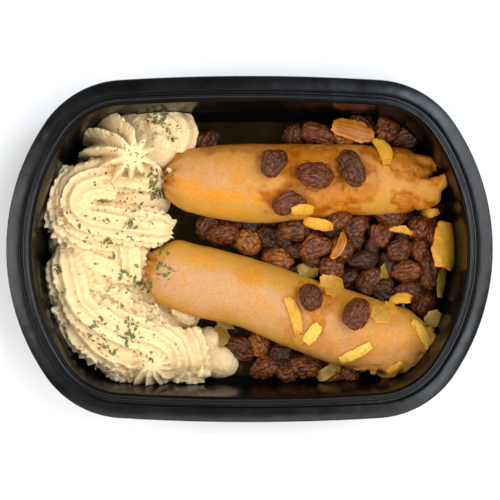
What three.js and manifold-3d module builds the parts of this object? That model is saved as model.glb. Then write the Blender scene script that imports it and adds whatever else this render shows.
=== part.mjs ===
// A ready meal in a black plastic tray: two sausages in curry sauce, three portions of
// piped mashed potato with dried parsley, and stewed raisins with onion.
// Millimetres, +Z up, the tray's long side along X. The origin is the centre of the
// tray's underside.

import * as THREE from 'three';
import { mergeVertices } from 'three/addons/utils/BufferGeometryUtils.js';
import Module from 'manifold-3d';

const wasm = await Module();
wasm.setup();

// Driving dimensions of the tray. An inset is measured inwards from the rim's edge.
const trayLength = 216;
const trayWidth = 153.7;
const trayHeight = 44;
const longSideRadius = 929;
const shortSideRadius = 100;
const cornerRadius = 43;
const wallThickness = 0.8;
const wallDraft = THREE.MathUtils.degToRad(5.5);
const floorFillet = 8;
const flangeDrop = 1;
const skirtDepth = 3.4;
const grooveInset = 6.7;
const grooveWidth = 1.2;
const grooveDepth = 1;
const grooveSlope = 0.4;
const bandInset = 8.6;
const lipInset = 11.4;
const lipDrop = 0.8;
const lipSlope = 0.7;
const edgeChamfer = 0.7;
const skirtSlope = 0.3;
const underGroove = [1, 0.5]; // how far inside the groove the underside starts and ends its step

// Clearances and levels of the food.
const gap = 0.35;
const liftStep = 0.25;
const foodFloor = wallThickness + gap;
const sausageFlatness = 0.8;

const up = new THREE.Vector3(0, 0, 1);
const skyHeight = 100;

// ---------- Solids ----------

// One closed solid from a three.js geometry, with its faces turned outwards.
function toSolid(geometry) {
  const bare = geometry.clone();
  bare.deleteAttribute('normal');
  bare.deleteAttribute('uv');
  const merged = mergeVertices(bare);
  const corners = merged.getAttribute('position').array;
  const index = merged.getIndex().array;
  const faces = [];
  for (let i = 0; i < index.length; i += 3) {
    const [a, b, c] = [index[i], index[i + 1], index[i + 2]];
    if (a !== b && b !== c && c !== a) {
      faces.push(a, b, c);
    }
  }
  if (signedVolume(corners, faces) < 0) {
    faces.reverse();
  }
  return new wasm.Manifold(new wasm.Mesh({
    numProp: 3,
    vertProperties: new Float32Array(corners),
    triVerts: new Uint32Array(faces),
  }));
}

function signedVolume(corners, faces) {
  const [a, b, c] = [new THREE.Vector3(), new THREE.Vector3(), new THREE.Vector3()];
  let volume = 0;
  for (let i = 0; i < faces.length; i += 3) {
    a.fromArray(corners, faces[i] * 3);
    b.fromArray(corners, faces[i + 1] * 3);
    c.fromArray(corners, faces[i + 2] * 3);
    volume += a.dot(b.cross(c));
  }
  return volume;
}

function toGeometry(solid) {
  const mesh = solid.getMesh();
  const geometry = new THREE.BufferGeometry();
  const corners = new Float32Array(mesh.vertProperties);
  geometry.setAttribute('position', new THREE.BufferAttribute(corners, 3));
  geometry.setIndex(new THREE.BufferAttribute(new Uint32Array(mesh.triVerts), 1));
  geometry.computeVertexNormals();
  return geometry;
}

function joined(solids) {
  return solids.reduce((whole, solid) => whole.add(solid));
}

// The largest body of a solid: loose scraps are dropped.
function largestBody(solid) {
  const bodies = solid.decompose();
  return bodies.reduce((best, body) => (body.volume() > best.volume() ? body : best));
}

// A repeatable number from 0 to 1 for a place in a pattern.
function noise(a, b, seed) {
  const value = Math.sin(a * 127.1 + b * 311.7 + seed * 74.7) * 43758.5453;
  return value - Math.floor(value);
}

// How far a tube's rings crowd towards its ends: 0 leaves them even, 1 spaces them as
// on a half circle.
const ringCrowding = 0.6;

// A closed tube along a path. Each path point is [x, y, z, radius], and section(ring,
// side, along) is a factor on the radius there. The ends are rounded over endShare of
// the length, down to endRadius of the tube's own.
function tube({
  path,
  sides,
  steps,
  section = () => 1,
  flatness = 1,
  endShare = 0.1,
  endRadius = 0.15,
  reference = up,
}) {
  const spine = new THREE.CatmullRomCurve3(path.map(([x, y, z]) => new THREE.Vector3(x, y, z)));
  const widths = new THREE.CatmullRomCurve3(path.map(([x, y, , r]) => new THREE.Vector3(x, y, r)));
  const geometry = new THREE.CylinderGeometry(1, 1, 1, sides, steps);
  const position = geometry.getAttribute('position');
  const local = new THREE.Vector3();
  for (let i = 0; i < position.count; i += 1) {
    local.fromBufferAttribute(position, i);
    const ring = Math.round((0.5 - local.y) * steps);
    const side = (Math.round((Math.atan2(local.x, local.z) / (2 * Math.PI)) * sides) + sides) % sides;
    const angle = (side / sides) * 2 * Math.PI;
    const share = (1 - Math.cos((Math.PI * ring) / steps)) / 2;
    const along = THREE.MathUtils.lerp(ring / steps, share, ringCrowding);
    const fromEnd = Math.min(1, Math.min(along, 1 - along) / endShare);
    const rounding = Math.max(endRadius, Math.sqrt(1 - (1 - fromEnd) ** 2));
    const isCapCentre = local.x === 0 && local.z === 0;
    const rho = isCapCentre ? 0 : rounding * section(ring, side, along);
    const t = spine.getUtoTmapping(along);
    const centre = spine.getPoint(t);
    const tangent = spine.getTangent(t);
    const radius = widths.getPoint(t).z;
    const across = new THREE.Vector3().crossVectors(reference, tangent).normalize();
    const rise = new THREE.Vector3().crossVectors(tangent, across);
    centre.addScaledVector(across, radius * rho * Math.sin(angle));
    centre.addScaledVector(rise, radius * rho * flatness * Math.cos(angle));
    position.setXYZ(i, centre.x, centre.y, centre.z);
  }
  return toSolid(geometry);
}

const moundColumns = 10;
const moundRows = 6;

// An ellipsoid mound of the given half axes.
function mound([x, y, z], [rx, ry, rz], turn = 0) {
  const geometry = new THREE.SphereGeometry(1, moundColumns, moundRows);
  geometry.rotateX(Math.PI / 2);
  geometry.scale(rx, ry, rz);
  geometry.rotateZ(turn);
  geometry.translate(x, y, z);
  return toSolid(geometry);
}

// ---------- Tray ----------

// The outline is three arcs a quarter that meet without a kink.
const shortArcCentre = new THREE.Vector2(trayLength / 2 - shortSideRadius, 0);
const longArcCentre = new THREE.Vector2(0, trayWidth / 2 - longSideRadius);
const cornerCentre = cornerArcCentre();
const shortArcEnd = cornerCentre.clone().sub(shortArcCentre).angle();
const longArcEnd = cornerCentre.clone().sub(longArcCentre).angle();

// Where the corner's circle touches both side circles from inside.
function cornerArcCentre() {
  const shortReach = shortSideRadius - cornerRadius;
  const longReach = longSideRadius - cornerRadius;
  const between = longArcCentre.clone().sub(shortArcCentre);
  const distance = between.length();
  const along = (shortReach ** 2 - longReach ** 2 + distance ** 2) / (2 * distance);
  const aside = Math.sqrt(shortReach ** 2 - along ** 2);
  between.normalize();
  return new THREE.Vector2(
    shortArcCentre.x + between.x * along - between.y * aside,
    shortArcCentre.y + between.y * along + between.x * aside,
  );
}

// The outline's point that faces a direction, moved inwards by inset.
function outlinePoint(direction, inset) {
  const cos = Math.cos(direction);
  const sin = Math.sin(direction);
  const facing = Math.atan2(Math.abs(sin), Math.abs(cos));
  let centre = cornerCentre;
  let radius = cornerRadius;
  if (facing < shortArcEnd) {
    centre = shortArcCentre;
    radius = shortSideRadius;
  } else if (facing > longArcEnd) {
    centre = longArcCentre;
    radius = longSideRadius;
  }
  const x = centre.x + (radius - inset) * Math.cos(facing);
  const y = centre.y + (radius - inset) * Math.sin(facing);
  return new THREE.Vector2(x * Math.sign(cos), y * Math.sign(sin));
}

// Evenly spread values from start up to, but without, end.
function spread(start, end, count) {
  return Array.from({ length: count }, (_, i) => start + ((end - start) * i) / count);
}

const quarterDirections = [
  ...spread(0, shortArcEnd, 4),
  ...spread(shortArcEnd, longArcEnd, 5),
  ...spread(longArcEnd, Math.PI / 2, 2),
];
const halfDirections = [
  ...quarterDirections,
  Math.PI / 2,
  ...quarterDirections.slice(1).reverse().map((direction) => Math.PI - direction),
];
const directions = [...halfDirections, ...halfDirections.map((direction) => direction + Math.PI)];

// A lathe turned along the tray's outline instead of a circle. The profile is a list
// of [inset, z] that starts and ends at the centre.
function outlineLathe(profile) {
  const points = profile.map(([inset, z]) => new THREE.Vector2(trayWidth / 2 - inset, z));
  const geometry = new THREE.LatheGeometry(points, directions.length);
  const position = geometry.getAttribute('position');
  const centre = new THREE.Vector2();
  for (let i = 0; i < position.count; i += 1) {
    const direction = directions[Math.floor(i / points.length) % directions.length];
    const { x: radius, y: z } = points[i % points.length];
    const spot = radius > 0 ? outlinePoint(direction, trayWidth / 2 - radius) : centre;
    position.setXYZ(i, spot.x, spot.y, z);
  }
  return toSolid(geometry);
}

// The inside of the tray from the floor's centre up to the lip, moved inwards by
// clearance; a negative clearance gives the outside.
function innerProfile(clearance, filletSteps) {
  const lipLevel = trayHeight - lipDrop;
  const radius = floorFillet - clearance;
  const level = wallThickness + floorFillet;
  const wallFoot = lipInset + (lipLevel - level + floorFillet * Math.sin(wallDraft)) * Math.tan(wallDraft);
  const filletInset = wallFoot + floorFillet * Math.cos(wallDraft);
  const profile = [[trayWidth / 2, level - radius]];
  for (let i = 0; i <= filletSteps; i += 1) {
    const turn = ((Math.PI / 2 - wallDraft) * i) / filletSteps;
    profile.push([filletInset - radius * Math.sin(turn), level - radius * Math.cos(turn)]);
  }
  return profile;
}

function buildTray() {
  const flange = trayHeight - flangeDrop;
  const outside = innerProfile(-wallThickness, 2).reverse();
  return outlineLathe([
    ...innerProfile(0, 3),
    [lipInset, trayHeight - lipDrop],
    [lipInset - lipSlope, trayHeight],
    [bandInset, trayHeight],
    [grooveInset + grooveWidth, flange - grooveDepth],
    [grooveInset, flange - grooveDepth],
    [grooveInset - grooveSlope, flange],
    [edgeChamfer, flange],
    [0, flange - edgeChamfer],
    [0, flange - skirtDepth],
    [wallThickness, flange - skirtDepth],
    [wallThickness + skirtSlope, flange - wallThickness],
    [grooveInset - underGroove[0], flange - wallThickness],
    [grooveInset - underGroove[1], flange - grooveDepth - wallThickness],
    [lipInset - wallThickness, flange - grooveDepth - wallThickness],
    ...outside,
  ]);
}

// The room that food may fill, clear of the tray's inside.
function buildRoom() {
  return outlineLathe([
    ...innerProfile(gap, 3),
    [lipInset + gap, trayHeight - lipDrop],
    [trayWidth / 2, trayHeight - lipDrop],
  ]);
}

const room = buildRoom();

// ---------- Sausages ----------

// Path points are [x, y, lift, half width]; the lift is above the tray's floor.
const sausages = {
  sausage_upper: {
    path: [
      [-39.3, 31, 0.5, 11], [-27, 31.2, 0, 14.7], [1, 30, 0, 18], [23, 30.5, 0, 17.6],
      [46, 31.4, 0, 16.4], [68, 31.4, 0, 15.2], [83, 30.5, 2, 12],
    ],
    tails: [
      [[74, 25, 17, 8], [82, 27.5, 18, 8], [87.5, 31, 22, 4.5], [90.5, 33, 26, 1.4]],
      [[70, 36, 15, 9], [80, 38.5, 16, 6], [86, 38, 17, 1.5]],
    ],
  },
  sausage_lower: {
    path: [
      [-47.6, -5.8, 1, 10.5], [-39, -9.5, 0, 14.6], [-26.7, -13.7, 0, 16], [0.2, -20.5, 0, 16],
      [23, -29.4, 0, 16.6], [46, -36.9, 0, 16.9], [67, -41.8, 0, 15.5], [76, -43, 0.5, 13.5],
      [82.5, -43.5, 1, 9.5],
    ],
    tails: [
      [[75, -40, 15, 8], [82, -42, 18, 3.8], [87, -43.3, 20, 1.4]],
      [[72, -44, 14, 8], [79, -49, 14, 4], [83.5, -52, 13, 1.4]],
    ],
  },
};

// A sausage with its puckered ends and torn tail; grow makes it stouter all round.
function buildSausage({ path, tails }, grow) {
  const body = tube({
    path: path.map(([x, y, lift, radius]) => (
      [x, y, foodFloor + radius * sausageFlatness + lift, radius + grow]
    )),
    sides: 16,
    steps: 15,
    flatness: sausageFlatness,
    endRadius: 0.12,
  });
  const ends = tails.map((tail) => tube({
    path: tail.map(([x, y, z, radius]) => [x, y, z, radius + grow]),
    sides: 7,
    steps: 4,
    flatness: 0.7,
    endShare: 0.05,
  }));
  return joined([body, ...ends]);
}

// ---------- Mashed potato ----------

// A star nozzle's section: sharp ridges, ragged where the mash tore.
function starSection(ridges, depth, tear, seed) {
  return (ring, side) => {
    const ridge = side % 2 === 0 ? 1 : 1 - depth;
    return ridge * (1 + tear * (noise(ring, side, seed) - 0.5));
  };
}

function mashRope(path, { ridges = 8, depth = 0.2, tear = 0.12, steps, seed, grow }) {
  return tube({
    path: path.map(([x, y, z, radius]) => [x, y, z, radius + grow]),
    sides: ridges * 2,
    steps,
    section: starSection(ridges, depth, tear, seed),
    endShare: 0.08,
    endRadius: 0.55,
  });
}

// The star-topped rosette: a fluted cone that twists up to its tip.
function rosetteCone(grow) {
  const ridges = 10;
  const crest = 1.05;
  const valley = 0.72;
  return tube({
    path: [[-61, 50, 0, 19 + grow], [-58.5, 47.5, 12, 17.5 + grow], [-55, 44, 25, 13.5 + grow],
      [-52, 41.5, 35, 10.5 + grow]],
    sides: ridges * 2,
    steps: 7,
    section: (ring, side, along) => (side % 2 === 0 ? crest : valley - 0.1 * along),
    endShare: 0.05,
    endRadius: 0.7,
    reference: new THREE.Vector3(0, 1, 0),
  });
}

const mashPiles = {
  mash_rosette: (grow) => [
    rosetteCone(grow),
    mashRope([[-48, 60, 10, 9], [-39, 58, 14, 9.5], [-32.5, 52.5, 12, 9.5], [-35, 45, 9, 8.5]],
      { steps: 7, depth: 0.1, seed: 2, grow }),
    mound([-44, 50, 4], [13 + grow, 15 + grow, 17 + grow], 0.4),
  ],
  mash_loop: (grow) => [
    mashRope([[-40, 32, 10, 9], [-54, 34, 14, 9], [-68, 33, 18, 9], [-78.5, 28.5, 20, 9.5],
      [-82, 20.5, 20.5, 9.5], [-76, 14, 20, 9.5], [-62, 11.5, 20, 9.5], [-47, 10, 19, 9.5],
      [-36.5, 9, 16, 9]], { steps: 13, seed: 3, grow }),
    mashRope([[-62, 27, 22, 3.5], [-70, 26.5, 23, 4.5], [-75, 23, 22, 4.5], [-71, 19.5, 21, 4]],
      { ridges: 5, steps: 6, seed: 4, grow }),
    mashRope([[-80, 36, 12, 8], [-87.5, 27, 15, 8.5], [-88.5, 14, 16, 8.5], [-78, 6, 14, 8.5],
      [-60, 3, 10, 8]], { ridges: 6, steps: 8, seed: 5, grow }),
    mound([-60, 22, 2], [24 + grow, 13 + grow, 14 + grow]),
  ],
  mash_swirl: (grow) => [
    mashRope([[-87, -2, 13, 9.5], [-84, -13, 16, 12], [-79, -25, 17, 12.5], [-67, -34, 17, 12],
      [-55, -38, 18, 11.5], [-43, -41, 19, 11], [-36.5, -47.5, 19, 10], [-39, -54, 18, 9],
      [-46, -54.5, 19, 7.5], [-49, -50.5, 20, 6], [-45.5, -48.5, 22, 4]],
    { ridges: 7, steps: 15, seed: 6, grow }),
    mashRope([[-72, -5, 8, 8.5], [-60, -7, 9, 8.5], [-50, -9.5, 9, 8]],
      { ridges: 6, steps: 4, seed: 7, grow }),
    mashRope([[-90, -12, 15, 8.5], [-88, -27, 16, 9], [-81, -40, 16, 9.5], [-71, -49, 15, 10],
      [-59, -56, 16, 10], [-46, -59, 17, 9], [-33, -57, 15, 9]],
    { ridges: 6, steps: 9, tear: 0.25, seed: 8, grow }),
    mashRope([[-74, -14, 16, 6], [-64, -18, 16, 7], [-54, -25, 14, 7], [-42, -31, 10, 7]],
      { ridges: 5, steps: 6, tear: 0.35, seed: 10, grow }),
    mashRope([[-32, -44, 12, 10], [-25, -47, 11, 11], [-17, -50, 9, 9.5], [-11, -52, 6, 6]],
      { ridges: 6, steps: 5, tear: 0.2, seed: 9, grow }),
    mound([-58, -30, 3], [30 + grow, 22 + grow, 11 + grow], -0.6),
  ],
};

// Dried parsley, as clusters: [x, y, spread, count].
const parsleyClusters = [
  [-38, 58, 8, 10],
  [-41, 31, 6, 7],
  [-48, -4, 6, 7],
  [-60, -38, 11, 8],
  [-64, 12, 14, 5],
  [-72, -14, 14, 5],
];
const flakeSize = [1.7, 1, 0.5];
const flakeLift = 0.1;
const steepestFlake = 0.8;
const lowestFlake = foodFloor + 2;

// Thin flakes that lie on the mash, half sunk into it.
function parsleyFlakes(solid, seed) {
  const ground = groundOver([solid]);
  const flakes = [];
  parsleyClusters.forEach(([x, y, reach, count], cluster) => {
    for (let i = 0; i < count; i += 1) {
      const turn = noise(i, cluster, seed) * 2 * Math.PI;
      const distance = Math.sqrt(noise(i, cluster, seed + 1)) * reach;
      const spot = [x + distance * Math.cos(turn), y + distance * Math.sin(turn)];
      const level = ground(...spot);
      if (level > lowestFlake) {
        const flake = new THREE.OctahedronGeometry(1);
        flake.scale(...flakeSize);
        flake.applyMatrix4(leaningFrame(...spot, turn, ground, steepestFlake));
        flake.translate(...spot, level + flakeLift);
        flakes.push(toSolid(flake));
      }
    }
  });
  return flakes;
}

// ---------- Raisins ----------

const raisinWidth = 11;
const raisinThickness = 9;
const slopeReach = 3;
const steepestRest = 0.6;

// An upright frame that leans with the slope under a piece that rests at x, y.
function leaningFrame(x, y, heading, ground, maxSlope) {
  const slopeX = (ground(x + slopeReach, y) - ground(x - slopeReach, y)) / (2 * slopeReach);
  const slopeY = (ground(x, y + slopeReach) - ground(x, y - slopeReach)) / (2 * slopeReach);
  const normal = new THREE.Vector3(
    -THREE.MathUtils.clamp(slopeX, -maxSlope, maxSlope),
    -THREE.MathUtils.clamp(slopeY, -maxSlope, maxSlope),
    1,
  ).normalize();
  const along = new THREE.Vector3(Math.cos(heading), Math.sin(heading), 0);
  const across = new THREE.Vector3().crossVectors(normal, along).normalize();
  along.crossVectors(across, normal);
  return new THREE.Matrix4().makeBasis(along, across, normal);
}

// The height of the highest surface under each place, by a ray from above.
function groundOver(solids) {
  const meshes = solids.map((solid) => new THREE.Mesh(toGeometry(solid)));
  const caster = new THREE.Raycaster();
  const down = new THREE.Vector3(0, 0, -1);
  return (x, y) => {
    caster.set(new THREE.Vector3(x, y, skyHeight), down);
    const hit = caster.intersectObjects(meshes, false)[0];
    return hit ? hit.point.z : foodFloor;
  };
}

function raisinGeometry(length, width = raisinWidth, detail = 1) {
  const geometry = new THREE.OctahedronGeometry(1, detail);
  geometry.rotateZ(Math.PI / 4);
  geometry.scale(length / 2, width / 2, raisinThickness / 2);
  return geometry;
}

// Lifts a piece by small steps until it is clear of what lies under it.
function settled(geometry, obstacle) {
  const piece = toSolid(geometry);
  const isClear = (height) => piece.translate([0, 0, height]).intersect(obstacle).volume() <= 0;
  let height = 0;
  while (!isClear(height) || !isClear(height + gap)) {
    height += liftStep;
  }
  return piece.translate([0, 0, height + gap]);
}

// The stewed raisins lie in three drifts and one raisin alone. A drift is a smooth core
// of mounds with raisins [x, y, length, heading in degrees] fused on.
const raisinDrifts = {
  raisins_middle: {
    mounds: [
      [[36, 3, 0], [31, 18, 17]],
      [[70, -6, 0], [21, 24, 11]],
      [[-4, 6.5, 0], [21, 9, 6]],
    ],
    raisins: [
      [21, 9, 17, 20], [30, 1, 16, 25], [13, -5, 16, 10], [23, -11, 16, 10],
      [41, 15, 14, 60], [48, 11, 13.5, 30], [65, 16, 16.5, -25], [60, 7, 13, 60],
      [52, -5, 15, 8], [55, -14, 15.5, 50], [73, -10, 14.5, 0], [83, -10, 17, 95],
      [78, 10, 13.5, 70], [84, 8, 14, 85], [86, 18, 12, 70], [78, 0, 10, 30],
      [69, 0, 12, 15], [42, 0, 12, -20], [38, -9, 13, -50], [62, -19, 12, -30],
      [73, -20, 14, -5], [80, -25, 13, 60], [-19, 11, 13.5, 60], [-12, 7, 15, 20],
      [0, 3, 14, -30], [9, 6, 12, -60],
    ],
  },
  raisins_back: {
    mounds: [[[48, 53, 0], [32, 9, 12]]],
    raisins: [
      [21, 52, 12, 80], [32, 53, 18, -20], [44, 52, 12, 0], [52, 57, 13, -40],
      [63, 56, 15, 75], [72, 51, 14, 10],
    ],
  },
  raisins_front: {
    mounds: [[[16, -51, 0], [32, 8, 5]]],
    raisins: [
      [-4, -46, 15, -30], [7, -55, 14.5, 35], [5, -44, 13, -65], [15, -48, 12, 0],
      [26, -54, 16.5, 10], [17, -56, 10, 30], [38, -57, 13, 20], [46, -57, 11, -30],
    ],
  },
  raisin_single: {
    mounds: [],
    raisins: [[-20.5, 49, 14, 60]],
  },
};
const raisinRise = { least: 1.5, more: 1.5 };

function buildDrift({ mounds, raisins }, around, taken) {
  const core = mounds.map(([centre, axes]) => mound(centre, axes));
  const ground = groundOver([...core, ...around]);
  const fused = raisins.map(([x, y, length, heading], i) => {
    const geometry = raisinGeometry(length);
    const turn = THREE.MathUtils.degToRad(heading);
    geometry.applyMatrix4(leaningFrame(x, y, turn, ground, steepestRest));
    const onCore = raisinRise.least + raisinRise.more * noise(i, x, y);
    const lift = mounds.length > 0 ? onCore : raisinThickness / 2;
    geometry.translate(x, y, ground(x, y) + lift);
    return toSolid(geometry);
  });
  return largestBody(joined([...core, ...fused]).intersect(room).subtract(taken));
}

// Single raisins on the sausages: [x, y, length, width, heading in degrees].
const looseRaisins = [
  [11, 39, 16, 12, 55],
  [30, 33.3, 18.5, 12.5, -5],
  [46, 36, 18.5, 11.5, -68],
  [18, 20.5, 16.5, 11.5, 10],
  [27.3, -21, 14.5, 11.5, 85],
  [48, -28.5, 16, 12.5, 70],
];

// ---------- Onion ----------

// Slices of stewed onion: [x, y, length, width, heading in degrees, sweep, curl]. Sweep
// bends a slice in its own plane and curl arches it; both are its bow in millimetres.
const onionSlices = [
  [88.5, 1.4, 20.5, 10, 76, 0, 0],
  [88.5, -15.3, 14, 4, 80, 0.5, 0],
  [83.5, 17, 8, 3.6, 15, 0, 1],
  [69.6, 7.7, 10.5, 4, -15, 0, 1.5],
  [31.7, 11.7, 12.5, 5, -10, 1, 1.5],
  [23.6, 17, 10.5, 4, -15, 1, 0.5],
  [39.9, 1.4, 12, 3.4, 68, -1.5, 0],
  [26.8, -9.5, 9.5, 6.5, -10, 0, 0.5],
  [37.1, -16.7, 12, 10, 35, 0, 1],
  [19, -30, 17, 4.6, -72, 1.5, 0.5],
  [28.6, -37.8, 10, 5, 55, 0, 0.5],
  [22.7, -41, 7, 4.5, 60, 0, 0.5],
  [60.5, -29, 13.5, 7.5, 40, 0, 0.5],
  [69.1, -24.3, 10, 4, -8, 1, 0],
  [48, -46.4, 15.5, 3.8, 33, 0, 0.5],
  [76.8, -39.2, 14, 3.2, -58, 1, 1],
  [66, -53, 8, 2.8, 45, 0, 0],
  [36.7, -56.2, 11.5, 5.5, 35, 0, 0],
  [84, -32, 8, 6, 50, 0, 0],
  [47.1, 53.6, 17, 9, -15, 0, 1.5],
  [58.8, 43.7, 14, 5, -75, 2, 0.5],
  [-12.4, -38.3, 9, 7, 60, 0, 0],
  [62.4, -10.4, 6.5, 5.5, 70, 0, 0],
];
const onionThickness = 1.5;
const onionTaper = 0.45;
const onionThinning = 0.3;

function onionGeometry(length, width, sweep, curl) {
  const geometry = new THREE.BoxGeometry(2, width, onionThickness, 5, 1, 1);
  const position = geometry.getAttribute('position');
  for (let i = 0; i < position.count; i += 1) {
    const along = position.getX(i);
    const bow = 1 - along ** 2;
    const taper = 1 - onionTaper * Math.abs(along) ** 3;
    position.setXYZ(
      i,
      (along * length) / 2,
      position.getY(i) * taper + sweep * bow,
      position.getZ(i) * (1 - onionThinning * along ** 2) + curl * bow,
    );
  }
  return geometry;
}

// How far into the pile a piece starts before it is lifted clear.
const startDepth = 1.5;

// A piece turned and leaned over what lies at x, y, then laid on it.
function rested(geometry, x, y, heading, ground, obstacle) {
  geometry.applyMatrix4(leaningFrame(x, y, THREE.MathUtils.degToRad(heading), ground, steepestRest));
  geometry.computeBoundingBox();
  geometry.translate(x, y, ground(x, y) - geometry.boundingBox.min.z - startDepth);
  return settled(geometry, obstacle);
}

// ---------- Assembly ----------

const meal = new THREE.Group();

function addNode(name, solid, material) {
  const mesh = new THREE.Mesh(toGeometry(solid), material);
  mesh.name = name;
  meal.add(mesh);
}

const finish = {
  tray: new THREE.MeshStandardMaterial({ color: 0x17181a, roughness: 0.25, metalness: 0 }),
  sausage: new THREE.MeshStandardMaterial({ color: 0xd99a55, roughness: 0.45, metalness: 0 }),
  mash: new THREE.MeshStandardMaterial({ color: 0xf4e1ac, roughness: 0.6, metalness: 0 }),
  raisin: new THREE.MeshStandardMaterial({ color: 0x5a2f1a, roughness: 0.4, metalness: 0 }),
  onion: new THREE.MeshStandardMaterial({ color: 0xd8ab3c, roughness: 0.35, metalness: 0 }),
};

addNode('tray', buildTray(), finish.tray);

const placed = [];
const sausageRooms = [];
for (const [name, shape] of Object.entries(sausages)) {
  const solid = buildSausage(shape, 0).intersect(room);
  placed.push(solid);
  sausageRooms.push(buildSausage(shape, gap));
  addNode(name, solid, finish.sausage);
}

let taken = joined(sausageRooms);
const bareMash = Object.values(mashPiles).map((piping) => {
  const bare = largestBody(joined(piping(0)).intersect(room).subtract(taken));
  taken = taken.add(joined(piping(gap)));
  return bare;
});
Object.entries(mashPiles).forEach(([name, piping], i) => {
  const others = Object.values(mashPiles).filter((other) => other !== piping);
  const flakes = joined(parsleyFlakes(bareMash[i], i))
    .intersect(room)
    .subtract(joined([...sausageRooms, ...others.flatMap((other) => other(gap))]));
  const solid = largestBody(bareMash[i].add(flakes));
  placed.push(solid);
  addNode(name, solid, finish.mash);
});

for (const [name, drift] of Object.entries(raisinDrifts)) {
  const solid = buildDrift(drift, placed, taken);
  placed.push(solid);
  addNode(name, solid, finish.raisin);
}

let pile = joined([...placed, toSolid(meal.getObjectByName('tray').geometry)]);
function restOnPile(name, geometry, x, y, heading, material) {
  const solid = rested(geometry, x, y, heading, groundOver(placed), pile);
  placed.push(solid);
  pile = pile.add(solid);
  addNode(name, solid, material);
}

looseRaisins.forEach(([x, y, length, width, heading], i) => {
  restOnPile(`raisin_loose_${i + 1}`, raisinGeometry(length, width, 2), x, y, heading, finish.raisin);
});

onionSlices.forEach(([x, y, length, width, heading, sweep, curl], i) => {
  restOnPile(`onion_${i + 1}`, onionGeometry(length, width, sweep, curl), x, y, heading, finish.onion);
});

export default meal;
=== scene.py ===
import itertools
import math
import random

import bpy
import numpy as np
from mathutils import Matrix, Vector
from mathutils.bvhtree import BVHTree


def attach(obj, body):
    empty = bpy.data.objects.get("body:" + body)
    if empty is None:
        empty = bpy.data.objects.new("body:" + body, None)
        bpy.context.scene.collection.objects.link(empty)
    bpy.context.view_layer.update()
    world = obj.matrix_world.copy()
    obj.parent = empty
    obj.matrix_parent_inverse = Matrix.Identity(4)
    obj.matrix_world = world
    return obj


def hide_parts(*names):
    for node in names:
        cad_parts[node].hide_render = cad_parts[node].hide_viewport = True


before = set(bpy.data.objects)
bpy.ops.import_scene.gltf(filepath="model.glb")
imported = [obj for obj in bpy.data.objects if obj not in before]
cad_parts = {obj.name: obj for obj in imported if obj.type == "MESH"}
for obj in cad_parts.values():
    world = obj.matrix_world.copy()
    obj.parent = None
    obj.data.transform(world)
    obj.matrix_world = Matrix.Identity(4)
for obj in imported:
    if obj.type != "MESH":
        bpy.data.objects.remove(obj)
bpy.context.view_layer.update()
bpy.ops.object.select_all(action="DESELECT")
mm = 0.001  # lists and dictionaries below are in millimetres, meshes and the studio in metres


# camera and studio

camera = {"place": (0.22, -0.44, 942), "lens": 146.1, "sensor": 36, "nearest": 10}
sky = {  # pale all round, dark straight above
    "strength": 1.14, "pale": (0.75, 0.745, 0.73, 1), "paleTo": 0.5,
    "dark": (0.015, 0.015, 0.015, 1), "darkFrom": 0.86,
}
studio = {  # name: (place, size, power, colour)
    "rightBox": ((0.72, 0.25, 1.05), (0.75, 1.0), 10.8, (0.95, 0.97, 1.0)),
    "leftBox": ((-0.85, 0.0, 1.0), (0.5, 1.0), 8.6, (1.0, 1.0, 1.0)),
    "cornerBox": ((0.36, 0.34, 1.1), (0.26, 0.3), 2.4, (0.65, 0.78, 1.0)),
    "lowCornerBox": ((0.4, -0.3, 1.1), (0.22, 0.3), 2.4, (0.85, 0.92, 1.0)),
    "frontBox": ((0.15, -0.85, 1.1), (1.4, 0.5), 7.2, (1.0, 0.99, 0.97)),
}

bpy.ops.object.camera_add(location=[c * mm for c in camera["place"]], rotation=(0, 0, 0))
eye = bpy.context.object
eye.data.lens, eye.data.sensor_width = camera["lens"], camera["sensor"]
eye.data.clip_start = camera["nearest"] * mm
eye.data.dof.use_dof = False
bpy.context.scene.camera = eye
bpy.context.scene.view_settings.view_transform = "Standard"

for name, (place, size, power, colour) in studio.items():
    facing = (-Vector(place)).to_track_quat("-Z", "Y").to_euler()
    bpy.ops.object.light_add(type="AREA", location=place, rotation=facing)
    box = bpy.context.object
    box.name = name
    box.data.shape = "RECTANGLE"
    box.data.size, box.data.size_y = size
    box.data.energy = power
    box.data.color = colour

world = bpy.data.worlds.new("studioWorld")
world.use_nodes = True
skyNodes, skyLinks = world.node_tree.nodes, world.node_tree.links
skyNodes["Background"].inputs["Strength"].default_value = sky["strength"]
skyKinds = "TexCoord", "SeparateXYZ", "ValToRGB"
skyPlace, skySplit, skyRamp = (skyNodes.new("ShaderNode" + kind) for kind in skyKinds)
pale, dark = skyRamp.color_ramp.elements
pale.position, pale.color = sky["paleTo"], sky["pale"]
dark.position, dark.color = sky["darkFrom"], sky["dark"]
skyLinks.new(skyPlace.outputs["Generated"], skySplit.inputs["Vector"])
skyLinks.new(skySplit.outputs["Z"], skyRamp.inputs["Fac"])
skyLinks.new(skyRamp.outputs["Color"], skyNodes["Background"].inputs["Color"])
bpy.context.scene.world = world
print("camera and studio are set")


# working with meshes

def activate(piece, *others):
    bpy.ops.object.select_all(action="DESELECT")
    for each in (piece, *others):
        each.select_set(True)
    bpy.context.view_layer.objects.active = piece


def addShape(name, add, **values):  # a new piece from one of Blender's own shapes
    bpy.ops.object.select_all(action="DESELECT")
    add(**values)
    piece = bpy.context.object
    piece.name = name
    return piece


def readRows(source, key):
    rows = np.empty(len(source) * 3)
    source.foreach_get(key, rows)
    return rows.reshape(-1, 3)


def readPoints(piece):
    return readRows(piece.data.vertices, "co") / mm


def readNormals(piece):
    return readRows(piece.data.vertex_normals, "vector")


def writePoints(piece, co):
    piece.data.vertices.foreach_set("co", (co * mm).astype(np.float32).ravel())
    piece.data.update()


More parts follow.
